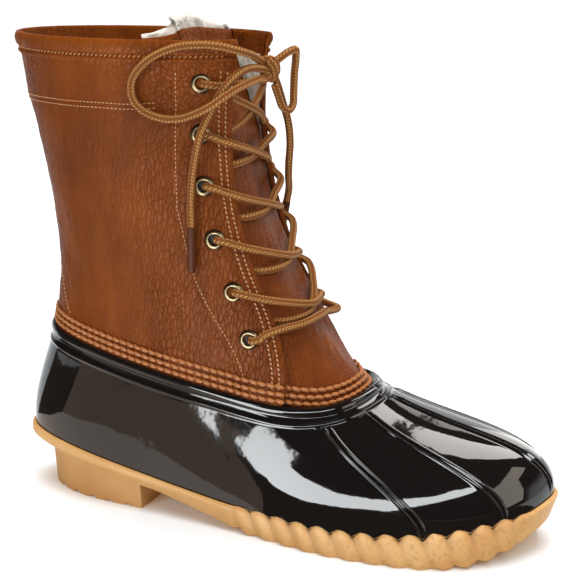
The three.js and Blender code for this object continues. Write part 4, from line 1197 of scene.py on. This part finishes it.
def addShaft():
    columns = shaftColumns()
    rows = shaftRows()
    points = np.zeros((len(rows), len(columns), 3))
    sign, isStay, share, columnLift, past = [np.array(values) for values in zip(*columns)]
    outside = columnLift >= 0

    def placesAt(s):
        lines = throatAt(s)
        edge = np.where(sign > 0, lines["nearEdge"], lines["farEdge"] - around)
        stay = np.where(sign > 0, lines["nearStay"], lines["farStay"] - around)
        u = np.where(isStay, stay + (edge - stay) * share, stay * share)
        return u + sign * past / stretch(leatherSurface, u, s)

    for i, (kind, value, lift) in enumerate(rows):
        s = np.full(len(columns), 0.92 * value if kind == "rise" else 1.0)
        u = placesAt(s)
        if kind == "rise":
            for step in range(3):
                s = value * riseBelowCollar(u, 12.8)
                if step < 2:
                    u = placesAt(s)
            s = np.maximum(s, riseAboveRim(u, 0.2))
        elif kind != "roll":
            for _ in range(3):
                s = riseBelowCollar(u, value)
                u = placesAt(s)
        total = np.where(outside, columnLift + lift, np.minimum(columnLift, lift))
        if kind == "facing":
            total = np.full(len(columns), lift)
        base = leatherSurface(u, s)
        if kind in ("rise", "collar"):
            fine = 0.05 * waves(base, 5, 13) + 0.035 * waves(base * np.array([1, 1, 0.45]), 3.2, 14)
            total = total + (reliefAt(u, s) + fine) * outside
        if kind != "rise" and value <= 10.2:
            # The binding is gathered in fine folds that lean over
            lean = 0 if kind == "roll" else 0.55 * value
            folds = np.sin(2 * math.pi * (u * 27 + lean) / 3.1 + 1.5 * waves(base, 19, 15, 8))
            total = total + 0.32 * folds * (0.65 + 0.35 * waves(base, 9, 16, 8).clip(-1, 1))
        points[i] = base + normalOf(leatherSurface, u, s) * total[:, None]
        if kind == "roll":
            points[i, :, 2] += value + 0.3
    obj = meshObject("leatherShaft", points, gridFaces(len(rows), len(columns)), leather)
    finishPiece(obj, "leather", "leather_shaft")


def addLining():
    # Shearling inside the shaft, from the rim to under the facing, and inside the throat's edges
    s = np.linspace(0.02, 0.955, 90)[:, None]
    t = np.linspace(-1, 1, 300)[None, :]
    lines = throatAt(s)
    edge = np.where(t > 0, lines["nearEdge"], around - lines["farEdge"])
    u = t * (edge - 1.2 / 25)
    base = leatherSurface(u, s)
    curl = 0.9 * waves(base, 4.6, 31) + 0.55 * waves(base, 2.6, 32)
    ends = 1 - np.abs(t) ** 30
    lift = -2.3 - (1.6 + 0.75 * curl.clip(-1.6, 1.6)) * ends
    points = lifted(leatherSurface, u, s, lift)
    obj = meshObject("shearlingLining", points, gridFaces(90, 300), fleece)
    finishPiece(obj, "insole_cloth")


addShaft()
addLining()
print("leather shaft made")

# Tongue: leather in front and fleece behind; its upper part stands back from the laces
tongue = {
    "setBack": 28,
    "rise": 3.0,
    "columns": 90,
}


def tonguePoints(share, s, lift):
    lines = throatAt(np.minimum(s, 1))
    near = lines["tongueNear"] - 0.75 * smoothStep(s, 0.78, 0.95)
    u = near + (lines["tongueFar"] - near) * share
    points = lifted(throatSurface, u, s, lift)
    back = smoothStep(s, 0.77, 1.04) * (1 - 0.36 * smoothStep(share, 0.45, 1.0))
    points[..., 0] -= tongue["setBack"] * back
    return points


def addTongue():
    count = tongue["columns"]
    rises = np.concatenate([np.linspace(0.008, 0.9, 100), np.linspace(0.91, 1.0, 12)])[:, None]
    share = np.linspace(0, 1, count)[None, :]
    # Its top edge stands over the collar, lower at both corners
    lean = 1 - 1.25 * (1 - smoothStep(share, 0.0, 0.32))
    over = tongue["rise"] * lean * (0.8 - 0.8 * smoothStep(share, 0.4, 1.0))
    crown = 1 + over / (0.75 * form["shaftHeight"])
    s = rises * (1 + (crown - 1) * smoothStep(rises, 0.85, 1.0))
    base = tonguePoints(share, s, -3.0)
    folds = np.sin(2 * math.pi * (base[..., 1] / 4.2 + 0.25 * waves(base, 14, 41)))
    wrinkles = 0.5 * folds * smoothStep(rises, 0.6, 1.0)
    relief = 0.3 * waves(base, 30, 42) + 0.1 * waves(base, 7, 43) + 0.4 * wrinkles
    front = tonguePoints(share, s, -3.0 + relief)
    top = tonguePoints(share, s[-1:], -3.9) + np.array([0, 0, 0.5])
    back = tonguePoints(share, s[::-1], -5.2)[:20]
    points = np.concatenate([front, top, back])
    obj = meshObject("tongue", points, gridFaces(len(points), count), tongueLeather)
    finishPiece(obj, "tongue_leather", "tongue")
    # Fleece on its back, standing a little above the leather's edge
    rows = np.linspace(0.3, 1.0, 100)[:, None]
    cloud = 0.006 + 0.018 * np.sin(math.pi * np.clip(0.1 + share, 0, 1)) ** 2
    s = rows * (crown + cloud * smoothStep(rows, 0.9, 1.0))
    base = tonguePoints(share, s, -6.0)
    curl = 0.8 * waves(base, 4.6, 45) + 0.5 * waves(base, 2.4, 46)
    edge = np.sin(math.pi * share) ** 0.2
    behind = tonguePoints(share, s, -6.0 - (3.6 + 1.1 * curl.clip(-1.6, 1.6)) * edge)
    front = tonguePoints(share, s, -5.4 + 0.8 * curl.clip(-1.0, 1.6) * smoothStep(rows, 0.95, 1.0))
    bulge = tonguePoints(share, s[-1:] * 1.004, -7.5 + 0.8 * curl[-1:])
    points = np.concatenate([front[-14:], bulge, behind[::-1]])
    obj = meshObject("tongueFleece", points, gridFaces(len(points), count), fleece)
    finishPiece(obj, "insole_cloth")


addTongue()
print("tongue made")


# Eyelets: a rolled brass ring, its profile as radius and height, with a black disc in it as painted shade
# for the hole
eyelet = {
    "profile": [
        (2.55, -1.2), (2.55, 0.4), (2.62, 0.9), (2.85, 1.22), (3.3, 1.38), (3.8, 1.28), (4.3, 0.95),
        (4.75, 0.5), (5.0, 0.12), (4.9, -0.05),
    ],
    "sides": 40,
}


def addEyelets():
    profile = eyelet["profile"]
    sides = eyelet["sides"]
    turns = np.linspace(0, 2 * math.pi, sides, endpoint=False)
    for side in ("near", "far"):
        for number in range(1, 7):
            place = eyeletAt(side, number)
            u, s = np.array(place["u"]), np.array(place["s"])
            normal = normalOf(leatherSurface, u, s)
            centre = leatherSurface(u, s) + normal * lace["eyestayStep"]
            a = unit(np.cross(normal, [0, 0, 1.0]))
            b = np.cross(normal, a)
            ring = np.cos(turns)[:, None] * a + np.sin(turns)[:, None] * b
            points = np.array([centre + ring * r + normal * h for r, h in profile])
            end = f"{side.capitalize()}{number}"
            obj = meshObject("eyelet" + end, points, gridFaces(len(profile), sides, False, True), brass)
            finishPiece(obj, "aged_brass", f"eyelet_{side}_{number}")
            # A black disc just above the leather, painted shade for the inside of the hole
            disc = np.array([centre + ring * r + normal * 0.12 for r in (0.01, 2.6)])
            faces = gridFaces(2, sides, False, True, flip=True)
            finishPiece(meshObject("eyeletHoleShade" + end, disc, faces, holeShade), "lace_cord")


addEyelets()
print("eyelets made")


# Stitches: pitch, length, width and height of one, and how far it leans, in degrees
stitches = {
    "heavy": (4.4, 5.2, 2.15, 1.6, -11),
    "double": (2.3, 1.8, 0.8, 0.6, 18),
    "stay": (2.1, 1.5, 0.6, 0.5, 0),
    "cuff": (2.2, 1.7, 0.55, 0.45, 0),
    "back": (2.2, 1.7, 0.6, 0.5, 0),
    "collar": (2.5, 2.5, 1.05, 0.9, 38),
    "heavyRows": (2.4, 5.4, 8.4),
}


# One stitch along X, whose ends dip into the leather
def stitchBody(length, width, height, rings=7, sides=7):
    angle = np.linspace(0, 2 * math.pi, sides, endpoint=False)
    rows = []
    for t in np.linspace(-1, 1, rings):
        r = max(math.sqrt(max(0.0, 1 - abs(t) ** 2.6)), 0.02)
        y = 0.5 * width * r * np.cos(angle)
        z = 0.5 * height * r * np.sin(angle) + 0.35 * height * (1 - 1.6 * t * t)
        rows.append(stack(0.5 * length * t, y, z))
    return np.array(rows), gridFaces(rings, sides, False, True)


# A row of stitches along places on a surface
def stitchRow(surface, u, s, lift, kind, shift=0.0):
    points = lifted(surface, u, s, lift)
    normals = normalOf(surface, u, s)
    lengths = lengthsAlong(points) + shift
    pitch, length, width, height, lean = stitches[kind]
    body, faces = stitchBody(length, width, height)
    wanted = (np.arange(int(lengths[-1] / pitch)) + 0.5) * pitch

    def at(values, place):
        return np.stack([np.interp(place, lengths, values[:, k]) for k in range(3)], axis=-1)

    centre = at(points, wanted)
    normal = unit(at(normals, wanted))
    tangent = unit(at(points, wanted + 0.6) - at(points, wanted - 0.6))
    side = unit(np.cross(normal, tangent))
    turn = math.radians(lean)
    forward = tangent * math.cos(turn) + side * math.sin(turn)
    side = unit(np.cross(normal, forward))
    return [(c + body[..., :1] * f + body[..., 1:2] * d + body[..., 2:] * n, faces)
            for c, f, d, n in zip(centre, forward, side, normal)]


# The same along a smooth line through a few places, following the leather's relief
def stitchLine(places, lift, kind):
    scale = np.array([25, 160])
    places = np.asarray(places, float) * scale
    dense = smoothLine(np.column_stack([places, np.zeros(len(places))]), 0.8)[:, :2] / scale
    u, s = dense[:, 0], dense[:, 1]
    return stitchRow(leatherSurface, u, s, lift + reliefAt(u, s), kind)


def stitchObject(name, parts, material):
    points, faces, _ = joinParts(parts)
    finishPiece(meshObject(name, points, faces, material), "leather")


# The step up on to the eyestay, where a row crosses it
def stepAt(u, s):
    lines = throatAt(s)
    return shaft["step"] * ((u > lines["nearStay"]) | (u < lines["farStay"] - around))


def addStitches():
    step = shaft["step"]
    heavy = []
    for row, height in enumerate(stitches["heavyRows"]):
        shift = 2.2 * (row % 2)
        u = np.linspace(-5.3, 5.3, 160)
        s = riseAboveRim(u, height)
        heavy += stitchRow(leatherSurface, u, s, 0.1 + stepAt(u, s), "heavy", shift)
        # The same rows run on over the foot of the tongue piece
        u = np.linspace(5.2, 10.8, 70)
        heavy += stitchRow(throatSurface, u, riseAboveRim(u, height), -2.6, "heavy", shift)
    stitchObject("rimStitches", heavy, tanThread)
    fine = []
    rises = np.linspace(0.07, 0.93, 40)
    lines = throatAt(rises)
    for edge, way, turned in ((lines["nearEdge"], -1, 0), (lines["farEdge"], 1, -around)):
        for inset in (3.0, 6.0):
            u = edge + way * inset / stretch(leatherSurface, edge, rises) + turned
            fine += stitchLine(np.column_stack([u, rises]), step + 0.1, "double")
    stay = np.array([(4.57, 0.097), (4.52, 0.189), (4.4, 0.286), (4.32, 0.386), (4.39, 0.487), (4.47, 0.562),
                     (4.57, 0.603), (4.8, 0.698), (5.1, 0.827), (5.23, 0.92)])
    for way in (1, -1):
        fine += stitchLine(stay * np.array([way, 1]), step + 0.1, "stay")
    stitchObject("eyestayStitches", fine, paleThread)
    seams = []
    cuff = np.array([(-5.0, 0.815), (-4.1, 0.803), (-2.0, 0.808), (0.0, 0.81), (2.0, 0.808), (3.24, 0.806),
                     (4.16, 0.803), (4.75, 0.812)])
    for offset in (0.0, 0.0135):
        seams += stitchLine(cuff + np.array([0, offset]), 0.08, "cuff")
    back = np.array([(1.0, 0.23), (1.24, 0.147), (1.44, 0.102), (1.6, 0.075)])
    for way in (1, -1):
        seams += stitchLine(back * np.array([way, 1]), 0.08, "back")
    stitchObject("seamStitches", seams, paleThread)
    u = np.linspace(-6.2, 6.3, 260)
    s = riseBelowCollar(u, 6.9)
    collar = stitchRow(leatherSurface, u, s, -0.15 + stepAt(u, s), "collar")
    stitchObject("collarStitches", collar, tanThread)


addStitches()
print("stitches made")

# Floor, lights and world
stage = {
    "floorSize": 40.0,
    "darkSize": 3.0,
    "floorGlow": 0.1,
    "cardReach": 500,
    "lightDistance": 1.6,
    "worldFill": 0.2,
    "skyPower": 2.9,
}


def stageMesh(name, points, faces, material, onlyMirrored=True):
    mesh = bpy.data.meshes.new(name)
    mesh.from_pydata([tuple(p) for p in points], [], [tuple(f) for f in faces])
    mesh.materials.append(material)
    obj = bpy.data.objects.new(name, mesh)
    bpy.context.scene.collection.objects.link(obj)
    if onlyMirrored:
        obj.visible_camera = False
        obj.visible_diffuse = False
        obj.visible_shadow = False
        obj.visible_transmission = False
    return obj


def glowMaterial(name, colour, strength):
    material = newMaterial(name)
    tree = material.node_tree
    glow = newNode(tree, "ShaderNodeEmission", {"Color": (*colour, 1), "Strength": strength})
    newNode(tree, "ShaderNodeOutputMaterial", {"Surface": glow.outputs[0]})
    return material


def addFloor():
    material = newMaterial("floor")
    tree = material.node_tree
    matt = newNode(tree, "ShaderNodeBsdfDiffuse", {"Color": (0.84, 0.91, 0.96, 1)})
    glow = newNode(tree, "ShaderNodeEmission", {"Color": (1, 0.62, 0.36, 1), "Strength": stage["floorGlow"]})
    both = newNode(tree, "ShaderNodeAddShader", {0: matt.outputs[0], 1: glow.outputs[0]})
    newNode(tree, "ShaderNodeOutputMaterial", {"Surface": both.outputs[0]})
    size = stage["floorSize"]
    corners = [(-size, -size, 0), (size, -size, 0), (size, size, 0), (-size, size, 0)]
    stageMesh("floor", corners, [(0, 1, 2, 3)], material, onlyMirrored=False)
    # In the shell's mirror the floor is dark in front of the boot, as the studio beyond it is
    size = stage["darkSize"]
    corners = [(-size, -size, 0.0006), (size, -size, 0.0006), (size, 0.02, 0.0006), (-size, 0.02, 0.0006)]
    stageMesh("darkFloor", corners, [(0, 1, 2, 3)], glowMaterial("darkFloor", (0.9, 0.75, 0.6), 0.1))


# Light cards, seen only in reflections. Each row is a pair of places on the shell, as place round the
# foot and rise, between which the card shows in the gloss from the camera's side.
cards = {
    "softbox": {
        "glow": ((0.95, 0.98, 1.0), 14.0),
        "rows": [
            (4.33, 0.63, 4.63, 0.75), (4.31, 0.57, 4.85, 0.78), (4.31, 0.51, 4.98, 0.77),
            (4.33, 0.47, 5.04, 0.74), (4.38, 0.42, 5.06, 0.7), (4.44, 0.39, 5.04, 0.65),
            (4.5, 0.35, 4.98, 0.59), (4.59, 0.32, 4.92, 0.53), (4.71, 0.3, 4.99, 0.48),
            (4.84, 0.28, 5.16, 0.43), (5.05, 0.28, 5.32, 0.39), (5.32, 0.28, 5.58, 0.37),
            (5.6, 0.28, 5.79, 0.36), (5.83, 0.27, 5.93, 0.34), (6.08, 0.29, 6.06, 0.36),
            (6.31, 0.3, 6.27, 0.35), (6.54, 0.3, 6.52, 0.34), (6.73, 0.3, 6.71, 0.35),
            (6.92, 0.3, 6.92, 0.33),
        ],
    },
    "roomWall": {
        "glow": ((1.0, 0.77, 0.57), 0.75),
        "rows": [
            (1.75, 0.32, 2.04, 0.88), (2.0, 0.32, 2.36, 0.86), (2.36, 0.35, 2.67, 0.84),
            (2.71, 0.35, 3.14, 0.83), (3.14, 0.29, 3.58, 0.83), (3.51, 0.2, 3.93, 0.84),
            (3.75, 0.15, 3.93, 0.63), (3.98, 0.12, 4.17, 0.51), (4.19, 0.05, 4.31, 0.28),
        ],
    },
    "nearFloor": {
        "glow": ((1.0, 0.87, 0.78), 1.5),
        "rows": [
            (1.05, -0.04, 1.05, 0.16), (1.47, -0.04, 1.47, 0.23), (1.75, -0.04, 1.75, 0.32),
            (2.0, -0.04, 2.0, 0.32), (2.36, -0.04, 2.36, 0.35), (2.71, -0.04, 2.71, 0.35),
            (3.14, -0.04, 3.14, 0.29), (3.51, -0.04, 3.51, 0.2), (3.75, -0.04, 3.75, 0.15),
            (3.98, -0.04, 3.98, 0.12), (4.19, -0.04, 4.19, 0.05),
        ],
    },
    "topLeft": {
        "glow": ((1.0, 0.97, 0.92), 8.0),
        "rows": [
            (7.36, 0.89, 7.41, 0.89), (7.3, 0.83, 7.49, 0.84), (7.24, 0.75, 7.49, 0.77),
            (7.15, 0.66, 7.51, 0.71), (7.18, 0.57, 7.6, 0.64), (7.28, 0.5, 7.68, 0.57),
            (7.49, 0.43, 7.79, 0.5), (7.68, 0.38, 7.89, 0.41), (7.95, 0.32, 8.0, 0.33),
        ],
    },
    "topRight": {
        "glow": ((1.0, 0.97, 0.94), 2.4),
        "rows": [
            (7.72, 0.83, 7.91, 0.87), (7.7, 0.74, 7.95, 0.79), (7.81, 0.65, 8.08, 0.7),
            (7.95, 0.54, 8.23, 0.58), (8.08, 0.44, 8.48, 0.47), (8.21, 0.34, 8.69, 0.35),
            (8.21, 0.25, 8.59, 0.26),
        ],
    },
    "window": {
        "glow": ((1.0, 0.9, 0.78), 3.0),
        "rows": [
            (7.58, 0.33, 7.72, 0.28), (7.34, 0.3, 7.47, 0.25), (7.09, 0.27, 7.43, 0.18),
            (7.05, 0.19, 7.34, 0.12), (7.09, 0.12, 7.15, 0.12),
        ],
    },
}


def addCards():
    eye = np.array(camera["place"]) * 1000 - np.array([form["centring"], 0, 0])
    for order, (name, card) in enumerate(cards.items()):
        rows = np.array(card["rows"])
        along = np.linspace(0, len(rows) - 1, 60)
        low = np.stack([np.interp(along, np.arange(len(rows)), rows[:, k]) for k in range(4)], axis=-1)
        across = np.linspace(0, 1, 10)[:, None]
        u = low[:, 0] + (low[:, 2] - low[:, 0]) * across
        s = low[:, 1] + (low[:, 3] - low[:, 1]) * across
        place = rubberSurface(u, s)
        normal = normalOf(rubberSurface, u, s)
        look = unit(place - eye)
        mirrored = look - 2 * (look * normal).sum(-1, keepdims=True) * normal
        height = 1.0 + 0.5 * order
        reach = np.full(u.shape, float(stage["cardReach"]))
        down = mirrored[..., 2] < -0.01
        toFloor = np.where(down, (place[..., 2] - height) / np.maximum(-mirrored[..., 2], 0.01), 1e6)
        reach = np.minimum(reach, toFloor)
        points = inMetres(place + mirrored * reach[..., None]).reshape(-1, 3)
        colour, strength = card["glow"]
        stageMesh(name, points, gridFaces(10, 60), glowMaterial(name, colour, strength))


def areaLight(name, azimuth, elevation, size, power):
    a, e = math.radians(azimuth), math.radians(elevation)
    target = Vector((0, 0, 0.1))
    way = Vector((math.cos(a) * math.cos(e), math.sin(a) * math.cos(e), math.sin(e)))
    data = bpy.data.lights.new(name, "AREA")
    data.size = size
    data.energy = power
    obj = bpy.data.objects.new(name, data)
    obj.location = target + stage["lightDistance"] * way
    obj.rotation_euler = (-way).to_track_quat("-Z", "Y").to_euler()
    bpy.context.scene.collection.objects.link(obj)
    obj.visible_glossy = False


# A wide soft sky light from above
def addSky():
    data = bpy.data.lights.new("skyLight", "SUN")
    data.energy = stage["skyPower"]
    data.angle = math.radians(50)
    obj = bpy.data.objects.new("skyLight", data)
    obj.rotation_euler = (math.radians(-3), 0, math.radians(14))
    bpy.context.scene.collection.objects.link(obj)
    obj.visible_glossy = False


def addWorld():
    world = bpy.data.worlds.new("world")
    bpy.context.scene.world = world
    world.use_nodes = True
    tree = world.node_tree
    tree.nodes.clear()
    path = newNode(tree, "ShaderNodeLightPath")
    direction = newNode(tree, "ShaderNodeTexCoord").outputs["Generated"]
    way = newNode(tree, "ShaderNodeSeparateXYZ", {0: direction})
    # The backdrop behind the boot is white in the gloss, the room in front is dark
    behind = rangeOf(tree, way.outputs[1], 0.1, 0.3, 0.0, 1.0)
    low = rangeOf(tree, way.outputs[2], 0.2, 0.5, 1.0, 0.0)
    backdrop = maths(tree, "MULTIPLY_ADD", maths(tree, "MULTIPLY", behind, low), 0.95, 0.04)
    lit = newNode(tree, "ShaderNodeBackground", {"Color": (1, 1, 1, 1), "Strength": stage["worldFill"]})
    mirrored = newNode(tree, "ShaderNodeBackground", {"Color": (1, 1, 1, 1), "Strength": backdrop})
    inputs = {0: path.outputs["Is Glossy Ray"], 1: lit.outputs[0], 2: mirrored.outputs[0]}
    mixed = newNode(tree, "ShaderNodeMixShader", inputs)
    newNode(tree, "ShaderNodeOutputWorld", {0: mixed.outputs[0]})


addFloor()
addCards()
addWorld()
areaLight("keyLight", -106, 24, 0.5, 6.5)
areaLight("sideLight", -38, 40, 0.8, 8)
areaLight("topLight", 75, 62, 0.9, 6)
areaLight("backLight", 150, 40, 0.8, 3)
addSky()

scene = bpy.context.scene
scene.view_settings.view_transform = "Standard"
scene.view_settings.look = "None"
print("floor and lights made")
